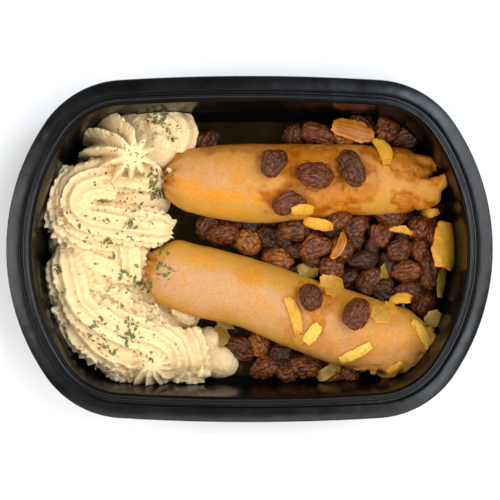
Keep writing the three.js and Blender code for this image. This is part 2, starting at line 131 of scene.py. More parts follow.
def pushOut(piece, height):  # moves each vertex along its normal
    writePoints(piece, readPoints(piece) + readNormals(piece) * height[:, None])


def modify(piece, kind, **values):
    activate(piece)
    modifier = piece.modifiers.new(kind.lower(), kind)
    for key, value in values.items():
        setattr(modifier, key, value)
    bpy.ops.object.modifier_apply(modifier=modifier.name)


def bevel(piece, width, sharpFrom):
    modify(piece, "BEVEL", width=width * mm, segments=2, limit_method="ANGLE", angle_limit=sharpFrom)


def solidify(piece, thickness, offset):  # 1 grows outwards, -1 inwards
    modify(piece, "SOLIDIFY", thickness=thickness * mm, offset=offset)


def relief(piece, size, strength):  # soft lumps all over, in and out
    texture = bpy.data.textures.new("cloudsRelief", "CLOUDS")
    texture.noise_scale = size * mm
    modify(piece, "DISPLACE", texture=texture, strength=strength * mm, mid_level=0.5, direction="NORMAL")


def fuse(pieces, name, voxel, smooth=0):
    activate(*pieces)
    if len(pieces) > 1:
        bpy.ops.object.join()
    piece = bpy.context.object
    piece.name = name
    if voxel:
        modify(piece, "REMESH", mode="VOXEL", voxel_size=voxel * mm, use_smooth_shade=True)
    if smooth:
        modify(piece, "SMOOTH", factor=0.5, iterations=smooth)
    return piece


def hashed(a, b, seed):  # a repeatable number from 0 to 1
    value = np.sin(a * 127.1 + b * 311.7 + seed * 74.7) * 43758.5453
    return value - np.floor(value)


def hashedPlace(x, y, z, seed):
    return hashed(x + z * 57.3, y, seed)


def softNoise(x, y, z, size, seed=0):  # smooth value noise from 0 to 1 at many places
    p = np.stack([np.asarray(c, float) / size for c in np.broadcast_arrays(x, y, z)])
    low = np.floor(p)
    f = p - low
    f = f * f * (3 - 2 * f)
    total = 0
    for dx, dy, dz in itertools.product((0, 1), repeat=3):
        weight = (f[0] if dx else 1 - f[0]) * (f[1] if dy else 1 - f[1]) * (f[2] if dz else 1 - f[2])
        total = total + hashedPlace(low[0] + dx, low[1] + dy, low[2] + dz, seed) * weight
    return total


def chunks(co, size, seed):  # torn chunks: how far in from their edges, and a level for each
    place = co / size
    cell = np.floor(place)
    nearest, second, level = np.full(len(co), 9.0), np.full(len(co), 9.0), np.zeros(len(co))
    for step in itertools.product((-1, 0, 1), repeat=3):
        corner = cell + step
        spot = corner + np.stack([hashedPlace(*corner.T, seed + k) for k in range(3)], 1)
        far = np.linalg.norm(place - spot, axis=1)
        closer = far < nearest
        second = np.where(closer, nearest, np.minimum(second, far))
        level = np.where(closer, hashedPlace(*corner.T, seed + 9), level)
        nearest = np.minimum(nearest, far)
    return second - nearest, level


def writeAttributes(piece, **table):
    for name, values in table.items():
        attribute = piece.data.attributes.new(name, "FLOAT", "POINT")
        attribute.data.foreach_set("value", np.asarray(values, np.float32))


def paintReliefShade(piece, rounds, depth):  # 1 on crests, 0 in valleys; the colours use it to paint shade into the valleys and light onto the crests
    co = readPoints(piece)
    edges = np.empty(len(piece.data.edges) * 2, int)
    piece.data.edges.foreach_get("vertices", edges)
    a, b = edges[0::2], edges[1::2]
    count = np.bincount(edges, minlength=len(co))[:, None]
    smooth = co.copy()
    for _ in range(rounds):
        total = np.zeros_like(co)
        np.add.at(total, a, smooth[b])
        np.add.at(total, b, smooth[a])
        smooth = total / np.maximum(count, 1)
    height = ((co - smooth) * readNormals(piece)).sum(1)
    writeAttributes(piece, relief=np.clip(0.5 + 0.5 * height / depth, 0, 1))


def rollTube(name, table):  # a grid rolled up and closed, rows along it and columns round it
    rows, columns = table.shape[:2]
    piece = addShape(name, bpy.ops.mesh.primitive_grid_add, x_subdivisions=columns, y_subdivisions=rows - 1)
    writePoints(piece, np.concatenate([table, table[:, :1]], 1).reshape(-1, 3))
    activate(piece)
    bpy.ops.object.mode_set(mode="EDIT")
    bpy.ops.mesh.select_all(action="SELECT")
    bpy.ops.mesh.remove_doubles(threshold=0.01 * mm)
    bpy.ops.mesh.fill_holes(sides=0)
    bpy.ops.mesh.normals_make_consistent(inside=False)
    bpy.ops.object.mode_set(mode="OBJECT")
    return piece


def cutAway(piece, kind, unwanted):  # deletes the marked vertices or faces
    activate(piece)
    bpy.ops.object.mode_set(mode="EDIT")
    bpy.ops.mesh.select_mode(type=kind)
    bpy.ops.mesh.select_all(action="DESELECT")
    bpy.ops.object.mode_set(mode="OBJECT")
    for part, marked in zip(piece.data.vertices if kind == "VERT" else piece.data.polygons, unwanted):
        part.select = bool(marked)
    bpy.ops.object.mode_set(mode="EDIT")
    bpy.ops.mesh.delete(type=kind)
    bpy.ops.object.mode_set(mode="OBJECT")


def shapePath(rows, count):  # evenly spread places along a smooth curve, with its tangents
    rows = np.array(rows, float)
    ends = np.vstack([2 * rows[0] - rows[1], rows, 2 * rows[-1] - rows[-2]])
    dense = []
    for i in range(1, len(ends) - 2):
        p0, p1, p2, p3 = ends[i - 1:i + 3]
        spans = (p0, p1), (p1, p2), (p2, p3)
        d0, d1, d2 = (max(np.linalg.norm((q - p)[:3]) ** 0.5, 1e-4) for p, q in spans)
        m1 = ((p1 - p0) / d0 - (p2 - p0) / (d0 + d1) + (p2 - p1) / d1) * d1
        m2 = ((p2 - p1) / d1 - (p3 - p1) / (d1 + d2) + (p3 - p2) / d2) * d1
        for t in np.linspace(0, 1, 40, endpoint=False):
            dense.append(
                p1 * (2 * t**3 - 3 * t**2 + 1) + m1 * (t**3 - 2 * t**2 + t)
                + p2 * (3 * t**2 - 2 * t**3) + m2 * (t**3 - t**2)
            )
    dense.append(rows[-1])
    dense = np.array(dense)
    reach = np.concatenate([[0], np.cumsum(np.linalg.norm(np.diff(dense[:, :3], axis=0), axis=1))])
    even = np.linspace(0, reach[-1], count + 1)
    placed = np.stack([np.interp(even, reach, dense[:, k]) for k in range(dense.shape[1])], 1)
    tangents = np.gradient(placed[:, :3], axis=0)
    tangents /= np.linalg.norm(tangents, axis=1)[:, None]
    return placed, tangents, even


def tube(name, path, sides, step, section=None, flatness=1, endShare=0.1, endRadius=0.15, up=(0, 0, 1)):
    length = np.linalg.norm(np.diff(np.array(path, float)[:, :3], axis=0), axis=1).sum()
    placed, tangents, reach = shapePath(path, max(8, int(length / step)))
    across = np.cross(np.array(up, float), tangents)
    across /= np.linalg.norm(across, axis=1)[:, None]
    rise = np.cross(tangents, across)
    share = reach / reach[-1]
    fromEnd = np.clip(np.minimum(share, 1 - share) / endShare, 0, 1)
    rounding = np.maximum(endRadius, np.sqrt(1 - (1 - fromEnd) ** 2))[:, None]
    angle = (np.arange(sides) / sides * 2 * math.pi)[None, :]
    factor, lean = np.ones((1, sides)), 0
    if section:
        factor, lean = section(angle, reach[:, None], share[:, None], placed[:, 3:4])
    radius = placed[:, 3:4] * rounding * factor
    return rollTube(name, (
        placed[:, None, :3]
        + across[:, None] * (radius * np.sin(angle))[:, :, None]
        + rise[:, None] * (radius * flatness * np.cos(angle))[:, :, None]
        + tangents[:, None] * (lean * np.ones_like(radius))[:, :, None]
    ))


def mound(centre, axes, turn=0):
    piece = addShape("mound", bpy.ops.mesh.primitive_uv_sphere_add, segments=32, ring_count=16)
    co = readPoints(piece) * mm * np.array(axes)
    writePoints(piece, co @ np.array(Matrix.Rotation(turn, 3, "Z")).T + np.array(centre))
    return piece


def treeOf(*pieces):
    vertices, polygons = [], []
    for piece in pieces:
        start = len(vertices)
        vertices += [tuple(c) for c in readPoints(piece)]
        polygons += [[start + i for i in p.vertices] for p in piece.data.polygons]
    return BVHTree.FromPolygons(vertices, polygons)


def heightAt(tree, x, y, nothing=None):
    hit = tree.ray_cast(Vector((x, y, 100)), Vector((0, 0, -1)))[0]
    return hit.z if hit else nothing


def finishPiece(piece, material, slot, *nodes):
    activate(piece)
    bpy.ops.object.shade_smooth()
    piece.data.materials.clear()
    for each in material if isinstance(material, list) else [material]:
        piece.data.materials.append(each)
    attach(piece, "root")
    if nodes:
        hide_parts(*nodes)
    return piece


# materials

class Look:  # a material, with short ways to add nodes to it
    def __init__(self, name):
        self.material = bpy.data.materials.new(name)
        self.material.use_nodes = True
        self.nodes = self.material.node_tree.nodes

    def put(self, source, socket):  # a link, a number or a colour
        if isinstance(source, bpy.types.NodeSocket):
            self.material.node_tree.links.new(source, socket)
        elif socket.type == "RGBA":
            socket.default_value = (*source, 1) if isinstance(source, tuple) else (source, source, source, 1)
        else:
            socket.default_value = source

    def add(self, kind, **values):
        node = self.nodes.new("ShaderNode" + kind)
        for key, value in values.items():
            if hasattr(node, key):
                setattr(node, key, value)
            else:
                self.put(value, node.inputs[key])
        return node

    def noise(self, size, detail=3, roughness=0.55, shift=(0, 0, 0), curl=0):
        place = self.add("Mapping", Vector=self.add("TexCoord").outputs["Object"], Location=shift)
        return self.add("TexNoise", Vector=place.outputs["Vector"], Scale=1 / (size * mm), Detail=detail,
                        Roughness=roughness, Distortion=curl).outputs["Fac"]

    def cells(self, size):
        place = self.add("TexCoord").outputs["Object"]
        return self.add("TexVoronoi", Vector=place, Scale=1 / (size * mm)).outputs["Distance"]

    def ramp(self, source, *stops):  # stops are (position, grey or colour)
        node = self.add("ValToRGB", Fac=source)
        elements = node.color_ramp.elements
        while len(elements) < len(stops):
            elements.new(0.5)
        for element, (position, colour) in zip(elements, stops):
            element.position = position
            element.color = (*colour, 1) if isinstance(colour, tuple) else (colour, colour, colour, 1)
        return node.outputs["Color"]

    def mix(self, share, first, second, blend="MIX"):
        node = self.add("Mix", data_type="RGBA", blend_type=blend)
        for source, socket in ((share, 0), (first, 6), (second, 7)):
            self.put(source, node.inputs[socket])
        return node.outputs[2]

    def multiply(self, first, second):
        node = self.add("Math", operation="MULTIPLY")
        for source, socket in zip((first, second), node.inputs):
            self.put(source, socket)
        return node.outputs[0]

    def attribute(self, name):
        return self.add("Attribute", attribute_name=name).outputs["Fac"]

    def bump(self, height, strength, distance, under=None):
        node = self.add("Bump", Strength=strength, Distance=distance * mm, Height=height)
        if under:
            self.put(under, node.inputs["Normal"])
        return node.outputs["Normal"]

    def finish(self, colour, normal=None, rough=0.5, shine=0.5, glow=()):  # glow is weight, radius and scale
        inputs = self.nodes["Principled BSDF"].inputs
        names = ["Base Color", "Roughness", "Specular IOR Level"]
        names += ["Subsurface " + key for key in ("Weight", "Radius", "Scale")]
        for name, source in zip(names, (colour, rough, shine, *glow)):
            self.put(source, inputs[name])
        if normal:
            self.put(normal, inputs["Normal"])
        return self.material


def blackPlastic(name, smooth, rough, shine):
    look = Look(name)
    grain = look.bump(look.noise(0.7, 2), 0.12, 0.1)
    return look.finish(
        look.ramp(look.noise(30), (0.3, (0.0016, 0.0016, 0.0017)), (0.7, (0.0034, 0.0034, 0.0037))),
        look.bump(look.noise(16, 2), 0.35, 1.2, grain),
        look.ramp(look.noise(18, 5), (0.3, smooth), (0.7, rough)), shine,
    )


def mashCream():
    look = Look("mashCream")
    broad = look.ramp(look.noise(14), (0.35, (0.85, 0.615, 0.305)), (0.65, (0.87, 0.645, 0.35)))
    # painted shade: the relief attribute darkens the cream in the valleys and lightens it on the crests
    crest = look.ramp(
        look.attribute("relief"),
        (0.1, (0.78, 0.565, 0.26)), (0.4, (0.84, 0.62, 0.305)), (0.8, (0.89, 0.68, 0.39)),
    )
    fine = look.bump(look.noise(0.7, 4, 0.65), 0.8, 0.35)
    return look.finish(
        look.mix(0.6, broad, crest), look.bump(look.noise(2.2, 3, 0.6), 0.5, 0.7, fine),
        glow=(0.62, (0.0042, 0.0038, 0.0022), 0.8),
    )


def sauceColour(look):
    return look.ramp(
        look.noise(3.2, 4, 0.6),
        (0.34, (0.31, 0.066, 0.001)), (0.52, (0.41, 0.112, 0.002)), (0.7, (0.53, 0.182, 0.006)),
    )


def sausageSkin():
    look = Look("sausageSkin")
    # colour by surface facing from the side attribute: paler on top, where it is a painted sheen, and darker,
    # more orange down the flanks
    skin = look.ramp(
        look.attribute("side"),
        (0.1, (0.56, 0.325, 0.16)), (0.42, (0.555, 0.285, 0.06)), (0.85, (0.48, 0.21, 0.022)),
    )
    mottle = look.ramp(look.noise(8, 4, 0.6), (0.32, 0.2), (0.6, 1.0))
    skin = look.mix(look.multiply(mottle, look.attribute("warm")), skin, (0.585, 0.265, 0.058))
    skin = look.mix(look.multiply(look.attribute("gold"), 0.75), skin, (0.53, 0.275, 0.036))
    grain = look.ramp(look.noise(0.9, 3, 0.7), (0.35, (0.86, 0.80, 0.70)), (0.7, (1.05, 1.06, 1.08)))
    skin = look.mix(1.0, skin, grain, "MULTIPLY")
    specks = [  # cells and their stops, where they show and its stops, colour
        (1.1, (0.3, 0.8), (0.46, 0.0), look.noise(6), (0.4, 0.05), (0.62, 1.0), (0.60, 0.22, 0.012)),
        (2.1, (0.14, 1.0), (0.26, 0.0), look.noise(9, 2, shift=(0.03, 0, 0)), (0.46, 0.0), (0.58, 1.0),
         (0.62, 0.20, 0.008)),
    ]
    for size, middle, rim, patches, bare, full, colour in specks:
        share = look.multiply(look.ramp(look.cells(size), middle, rim), look.ramp(patches, bare, full))
        skin = look.mix(share, skin, colour)
    streak = look.ramp(look.cells(1.5), (0.1, (0.86, 0.46, 0.02)), (0.3, (0.66, 0.235, 0.01)))
    skin = look.mix(look.attribute("streak"), skin, streak)
    skin = look.mix(look.attribute("stain"), skin, sauceColour(look))
    fine = look.bump(look.noise(0.8, 3, 0.6), 0.25, 0.15)
    return look.finish(
        skin, look.bump(look.noise(4), 0.25, 0.4, fine),
        look.ramp(look.noise(5), (0.3, 0.32), (0.7, 0.48)), 0.08, (0.15, (0.004, 0.0016, 0.0006), 0.6),
    )


def currySauce():
    look = Look("currySauce")
    colour = look.mix(0.35, sauceColour(look), (0.56, 0.22, 0.02))
    return look.finish(colour, look.bump(look.noise(1.1, 4, 0.6), 0.5, 0.4), 0.3, 0.2)


def raisinSkin(name, dark, mid, light, shift):
    look = Look(name)
    # painted shade in the creases and a painted highlight on the crests, from the relief attribute
    colour = look.ramp(look.attribute("relief"), (0.2, dark), (0.5, mid), (0.9, light))
    patch = look.ramp(look.noise(3.5, 4, 0.6, shift), (0.35, (0.56, 0.5, 0.45)), (0.65, (1.2, 1.14, 1.06)))
    folds = look.noise(1.5, 2, 0.5, shift, 1.6)  # long curling folds
    # painted shade in the folds and a painted highlight along their tops, from the same noise as the bump
    shade = look.ramp(folds, (0.32, (0.66, 0.58, 0.52)), (0.58, (1.15, 1.15, 1.15)))
    return look.finish(
        look.mix(1.0, look.mix(1.0, colour, patch, "MULTIPLY"), shade, "MULTIPLY"),
        look.bump(folds, 0.8, 0.7, look.bump(look.noise(0.6, 3, 0.6), 0.5, 0.3)),
        look.ramp(look.noise(2), (0.3, 0.16), (0.7, 0.42)), 0.33, (0.12, (0.002, 0.0007, 0.0003)),
    )


def onionFlesh(name, low, high, edge):
    look = Look(name)
    colour = look.ramp(look.noise(2.6, 3, 0.6), (0.3, low), (0.7, high))
    colour = look.mix(look.multiply(look.attribute("rib"), 0.5), colour, edge)
    colour = look.mix(look.ramp(look.attribute("rim"), (0.72, 0.0), (1.0, 0.9)), colour, edge)
    fine = look.bump(look.noise(0.8, 3, 0.6), 0.25, 0.2)
    return look.finish(colour, fine, 0.38, 0.35, (0.35, (0.003, 0.0018, 0.0005)))


def thinSauce():
    look = Look("thinSauce")
    colour = look.ramp(look.noise(20, 2), (0.3, (0.007, 0.004, 0.001)), (0.7, (0.02, 0.012, 0.0025)))
    return look.finish(colour, look.bump(look.noise(9, 2), 0.1, 0.3), 0.14, 0.35)


def parsleyLeaf():
    look = Look("parsleyLeaf")
    colour = look.ramp(look.noise(1.6, 2), (0.35, (0.09, 0.1, 0.02)), (0.65, (0.22, 0.22, 0.05)))
    return look.finish(colour, look.bump(look.noise(0.3, 2), 0.3, 0.1), 0.6)


def paleFloor():
    look = Look("paleFloor")
    colour = look.ramp(look.noise(40, 2), (0.3, (0.86, 0.86, 0.855)), (0.7, (0.88, 0.88, 0.875)))
    return look.finish(colour, rough=0.8)


# floor

floor = addShape("studioFloor", bpy.ops.mesh.primitive_plane_add, size=6)
floor.data.materials.append(paleFloor())


# tray

tray = {
    "length": 216, "width": 153.7, "height": 44, "wall": 0.8, "draft": math.radians(5.5),
    "longSideRadius": 929, "shortSideRadius": 100, "cornerRadius": 43, "floorFillet": 8,
    "lipInset": 11.4, "lipDrop": 0.8, "flangeDrop": 1, "flangeFall": 0.45, "skirtDepth": 3.4,
    "grooveInset": 6.7, "grooveWidth": 1.2, "grooveDepth": 1, "bandInset": 8.6,
    "arcSteps": (14, 24, 12), "bevel": 0.22, "sharpFrom": math.radians(28), "smoothTo": math.radians(40),
    "wetMargin": 1.2, "clearance": 0.3, "foodGap": 0.05,
}
shortCentre = np.array([tray["length"] / 2 - tray["shortSideRadius"], 0])
longCentre = np.array([0, tray["width"] / 2 - tray["longSideRadius"]])


def findCornerCentre():  # the corner's circle touches both side circles from inside
    shortReach = tray["shortSideRadius"] - tray["cornerRadius"]
    longReach = tray["longSideRadius"] - tray["cornerRadius"]
    between = longCentre - shortCentre
    distance = np.linalg.norm(between)
    along = (shortReach**2 - longReach**2 + distance**2) / (2 * distance)
    aside = math.sqrt(shortReach**2 - along**2)
    x, y = between / distance
    return shortCentre + np.array([x * along - y * aside, y * along + x * aside])


cornerCentre = findCornerCentre()
shortArcEnd = math.atan2(*(cornerCentre - shortCentre)[::-1])
longArcEnd = math.atan2(*(cornerCentre - longCentre)[::-1])


def outlinePoint(direction, inset):
    facing = math.atan2(abs(math.sin(direction)), abs(math.cos(direction)))
    centre, radius = cornerCentre, tray["cornerRadius"]
    if facing < shortArcEnd:
        centre, radius = shortCentre, tray["shortSideRadius"]
    elif facing > longArcEnd:
        centre, radius = longCentre, tray["longSideRadius"]
    x = centre[0] + (radius - inset) * math.cos(facing)
    y = centre[1] + (radius - inset) * math.sin(facing)
    return math.copysign(x, math.cos(direction)), math.copysign(y, math.sin(direction))


def insetOf(x, y):  # how far a place is inside the rim's edge, and the way out there
    fold = np.stack([np.abs(x), np.abs(y)], 1)
    away = fold - cornerCentre
    facing = np.arctan2(away[:, 1], away[:, 0])
    centre = np.tile(cornerCentre, (len(fold), 1))
    radius = np.full(len(fold), float(tray["cornerRadius"]))
    onShort = facing < shortArcEnd
    onLong = (facing > longArcEnd) & ~onShort
    centre[onShort], radius[onShort] = shortCentre, tray["shortSideRadius"]
    centre[onLong], radius[onLong] = longCentre, tray["longSideRadius"]
    away = fold - centre
    distance = np.linalg.norm(away, axis=1)
    outward = away / distance[:, None] * np.sign(np.stack([x, y], 1) + 1e-9)
    return radius - distance, outward


def insetAt(x, y):
    return insetOf(np.array([x]), np.array([y]))[0][0]


lipLevel = tray["height"] - tray["lipDrop"]
filletLevel = tray["wall"] + tray["floorFillet"]
wallSlope = math.tan(tray["draft"])
filletRise = tray["floorFillet"] * math.sin(tray["draft"])
wallFoot = tray["lipInset"] + (lipLevel - filletLevel + filletRise) * wallSlope
filletInset = wallFoot + tray["floorFillet"] * math.cos(tray["draft"])


def wallInset(z):  # the inset of the inner wall at a height
    upper = tray["lipInset"] + (lipLevel - z) * wallSlope
    sunk = np.clip(filletLevel - z, 0, tray["floorFillet"])
    lower = filletInset - np.sqrt(tray["floorFillet"]**2 - sunk**2)
    return np.where(z > filletLevel - filletRise, upper, lower)


def keepInTray(piece, clearance=tray["clearance"]):
    co = readPoints(piece)
    inset, outward = insetOf(co[:, 0], co[:, 1])
    missing = np.clip(wallInset(co[:, 2]) + clearance - inset, 0, None)
    co[:, :2] -= outward * missing[:, None]
    co[:, 2] = np.maximum(co[:, 2], tray["wall"] + tray["foodGap"])
    writePoints(piece, co)


def innerProfile(clearance, steps):
    radius = tray["floorFillet"] - clearance
    turns = [(math.pi / 2 - tray["draft"]) * i / steps for i in range(steps + 1)]
    return [(filletInset - radius * math.sin(t), filletLevel - radius * math.cos(t)) for t in turns]


def buildTray():
    top, flange, wall = tray["height"], tray["height"] - tray["flangeDrop"], tray["wall"]
    lip, band, groove, fall = (tray[key] for key in ("lipInset", "bandInset", "grooveInset", "flangeFall"))
    sunk, skirt = flange - tray["grooveDepth"], flange - tray["skirtDepth"]
    profile = [  # inset and height, up the inner wall, out over the rim and back in under the floor
        *innerProfile(0, 10),
        (lip + 2.2, lipLevel - 22), (lip, lipLevel), (lip - 0.55, top - 0.1), (lip - 1.1, top),
        (band + 1.2, top), (band + 0.95, top - 0.22), (band + 0.6, top), (band, top),
        (band - 0.35, top - 0.4), (groove + tray["grooveWidth"], sunk), (groove, sunk),
        (groove - 0.4, flange), (groove - 1.2, flange), (0.9, flange - fall),
        (0.3, flange - fall - 0.25), (0, flange - fall - 0.8), (0, skirt), (wall, skirt),
        (wall + 0.3, flange - fall - wall), (groove - 1, flange - wall),
        (groove - 0.5, sunk - wall), (lip - wall, sunk - wall),
        *innerProfile(-wall, 8)[::-1],
    ]
    shortSteps, cornerSteps, longSteps = tray["arcSteps"]
    quarter = [
        *np.linspace(0, shortArcEnd, shortSteps, endpoint=False),
        *np.linspace(shortArcEnd, longArcEnd, cornerSteps, endpoint=False),
        *np.linspace(longArcEnd, math.pi / 2, longSteps),
    ]
    half = quarter + [math.pi - d for d in quarter[-2::-1]]
    directions = half[:-1] + [d + math.pi for d in half[:-1]]
    table = np.array([[(*outlinePoint(d, inset), z) for d in directions] for inset, z in profile])
    piece = rollTube("trayShell", table)
    bevel(piece, tray["bevel"], tray["sharpFrom"])
    finishes = [blackPlastic("blackPlastic", 0.2, 0.32, 0.3), blackPlastic("wettedPlastic", 0.16, 0.26, 0.08)]
    finishPiece(piece, finishes, "tray", "tray")
    for polygon in piece.data.polygons:  # the wall inside is wetted and reflects less
        x, y, _ = polygon.center / mm
        polygon.material_index = int(insetAt(x, y) > tray["lipInset"] - tray["wetMargin"])
    bpy.ops.object.shade_smooth_by_angle(angle=tray["smoothTo"])
    return piece


trayShell = buildTray()
print("tray is built,", len(trayShell.data.polygons), "faces")


# sausages

foodFloor = 1.15
sausages = {  # path points are x, y, lift above the floor, half width; tail points are x, y, z, radius
    "sausageUpper": {
        "node": "sausage_upper", "goldSide": -1, "warm": (0.9, 2.2),
        "path": [
            (-39.3, 31, 0.5, 11), (-27, 31.2, 0, 14.7), (1, 30, 0, 18), (23, 30.5, 0, 17.6),
            (46, 31.4, 0, 16.4), (68, 31.4, 0, 15.2), (83, 30.5, 2, 12),
        ],
        "tails": [
            [(74, 25, 17, 8), (81, 26.8, 18.5, 7.2), (85.6, 30, 23, 4.0), (88.6, 34.4, 29, 0.9)],
            [(70, 36, 15, 9), (80, 37.6, 16, 5.4), (87.2, 37.8, 17, 1.6)],
        ],
        "stains": [  # x, y, radius x, radius y, turn, strength
            (75, 38.5, 15, 7, -15, 1), (75, 19.5, 13, 5, -14, 1), (30, 42, 14, 5, -3, 1),
            (34, 21.5, 16, 8, 5, 1), (12, 41, 9, 7, 0, 0.7), (29, 33, 18, 12, 0, 1),
            (46, 34, 10, 10, 0, 0.8), (18, 22, 12, 7, 0, 0.95), (-38, 33, 4, 5, 0, 0.6),
            (52, 26, 7, 5, 20, 0.6), (8, 46, 30, 3.5, 0, 0.6), (62, 43, 12, 4, -5, 0.9),
            (70, 34, 8, 4, -30, 0.8),
        ],
        "streaks": [(-8, 23.3, 17, 2.2, -9, 0.7), (-27, 28, 8, 3, -30, 0.6), (-10, 17, 12, 1.6, -5, 0.4)],
        "frays": [(84, 33, 6, 9, 1.4)],  # x, y, radius x, radius y, depth
    },
    "sausageLower": {
        "node": "sausage_lower", "goldSide": 1, "warm": (0.2, 1.1),
        "path": [
            (-47.6, -5.8, 1, 10.5), (-39, -9.5, 0, 14.6), (-26.7, -13.7, 0, 16), (0.2, -20.5, 0, 16),
            (23, -29.4, 0, 16.6), (46, -36.9, 0, 16.9), (67, -41.8, 0, 15.5), (76, -43, 0.5, 13.5),
            (82.5, -43.5, 1, 9.5),
        ],
        "tails": [
            [(75, -40, 15, 8), (82, -42, 18, 3.8), (88, -43.5, 20, 1.8)],
            [(72, -44, 14, 8), (81, -47.5, 15, 3.6), (86, -50, 15, 1.8)],
            [(68, -46, 13, 8), (76, -51.5, 13, 3.8), (82, -56, 12, 1.8)],
            [(60, -46, 12, 8), (68, -54, 11, 4), (72, -60, 9, 1.8)],
            [(48, -45, 10, 8), (59, -53, 9, 5), (64, -60, 8, 1.8)],
        ],
        "stains": [
            (0, -12, 8, 4, -20, 0.25), (30, -24, 9, 9, 0, 0.65), (46, -26, 9, 7, 0, 0.5),
            (24, -38, 8, 12, 60, 0.3), (44, -42, 14, 2.5, 12, 0.3), (60, -46, 13, 2.5, 10, 0.25),
            (62, -30, 9, 6, 20, 0.25), (-46, -4, 4, 8, 0, 0.5), (12, -12, 16, 5, -20, 0.15),
        ],
        "streaks": [(1, -12, 7, 4, -20, 0.5), (-20, -5, 8, 2, -15, 0.4), (70, -38, 8, 3, 10, 0.3)],
        "frays": [(68, -55, 24, 12, 3.6), (83, -44, 9, 11, 3)],
    },
}
skin = {
    "flatness": 0.8, "voxel": 0.65, "foldDepth": 1.1, "foldReach": 8, "folds": 9, "rightFolds": 0.8,
    "lumps": ((22, 1.2), (5, 0.25)), "tatterSize": 3.2, "warmFromTo": (-20, 60),
}


def stainAt(co, stains):
    value = np.zeros(len(co))
    edge = softNoise(*co.T, 2.4, 3) * 0.9 + softNoise(*co.T, 6, 4) * 1.1 - 1
    for x, y, rx, ry, turn, strength in stains:
        c, s = math.cos(math.radians(turn)), math.sin(math.radians(turn))
        dx, dy = co[:, 0] - x, co[:, 1] - y
        far = np.hypot((dx * c + dy * s) / rx, (dy * c - dx * s) / ry)
        value = np.maximum(value, strength * np.clip((1.15 - far + edge * 0.8) * 2.8, 0, 1))
    return value


def foldEnd(co, tip, inward):  # gathers the skin into folds that run in to the tip
    away = co - tip
    along = away @ inward
    side = away - along[:, None] * inward
    distance = np.linalg.norm(side, axis=1)
    turn = np.arctan2(side[:, 2], side @ np.array([-inward[1], inward[0], 0]))
    fade = np.exp(-((np.clip(along, 0, None) / skin["foldReach"]) ** 2)) * np.clip(distance / 2, 0, 1)
    wave = np.cos(turn * skin["folds"] + 1.5 * np.sin(turn * 2 + tip[0]))
    return fade * wave * skin["foldDepth"]


def frayEdge(piece, frays):  # tatters of torn skin that stand out sideways, upright like pleats
    co, normals = readPoints(piece), readNormals(piece)
    sideways = np.exp(-(((normals[:, 2] - 0.1) / 0.45) ** 2))
    _, level = chunks((co + 1.5 * softNoise(*co.T, 3, 62)[:, None]) * (1, 1, 0.2), skin["tatterSize"], 61)
    for x, y, rx, ry, depth in frays:
        near = np.clip(1.6 - 1.6 * np.hypot((co[:, 0] - x) / rx, (co[:, 1] - y) / ry), 0, 1)
        co += normals * (near * sideways * depth * (1.5 * level**2 - 0.4))[:, None]
    writePoints(piece, co)


def buildSausage(name, shape):
    flat = skin["flatness"]
    line = np.array([(x, y, foodFloor + r * flat + lift, r) for x, y, lift, r in shape["path"]])
    body = tube(name, line, sides=64, step=0.8, flatness=flat, endRadius=0.12)
    tails = [tube("tail", path, sides=24, step=0.5, flatness=0.7, endShare=0.05) for path in shape["tails"]]
    piece = fuse([body, *tails], name, skin["voxel"], 3)
    co, normals = readPoints(piece), readNormals(piece)
    ends = (line[0, :3], line[1, :3], 1), (line[-1, :3], line[-2, :3], skin["rightFolds"])
    for tip, inner, strength in ends:
        inward = (inner - tip) / np.linalg.norm(inner - tip)
        co += normals * foldEnd(co, tip, inward)[:, None] * strength
    writePoints(piece, co)
    for size, strength in skin["lumps"]:
        relief(piece, size, strength)
    frayEdge(piece, shape["frays"])
    keepInTray(piece)
    co, normals = readPoints(piece), readNormals(piece)
    middle, half = (np.interp(co[:, 0], line[:, 0], line[:, k]) for k in (1, 3))
    across = (co[:, 1] - middle) / half
    wavy = 0.25 * (softNoise(*co.T, 9, 2) - 0.5)
    writeAttributes(
        piece,
        # side is 0 where the skin faces up and 1 where it faces sideways; it carries the painted sheen on top
        side=1 - np.clip(normals[:, 2], 0, 1) + 0.25 * (softNoise(*co.T, 8, 1) - 0.5),
        stain=stainAt(co, shape["stains"]),
        streak=stainAt(co, shape["streaks"]),
        warm=np.interp(co[:, 0], skin["warmFromTo"], shape["warm"]),
        gold=np.clip((across * shape["goldSide"] + wavy - 0.3) / 0.3, 0, 1),
    )
    return finishPiece(piece, skinMaterial, "sausage", shape["node"])


skinMaterial = sausageSkin()
sausagePieces = [buildSausage(name, shape) for name, shape in sausages.items()]
print("sausages are built,", [len(p.data.polygons) for p in sausagePieces], "faces")


# mashed potato

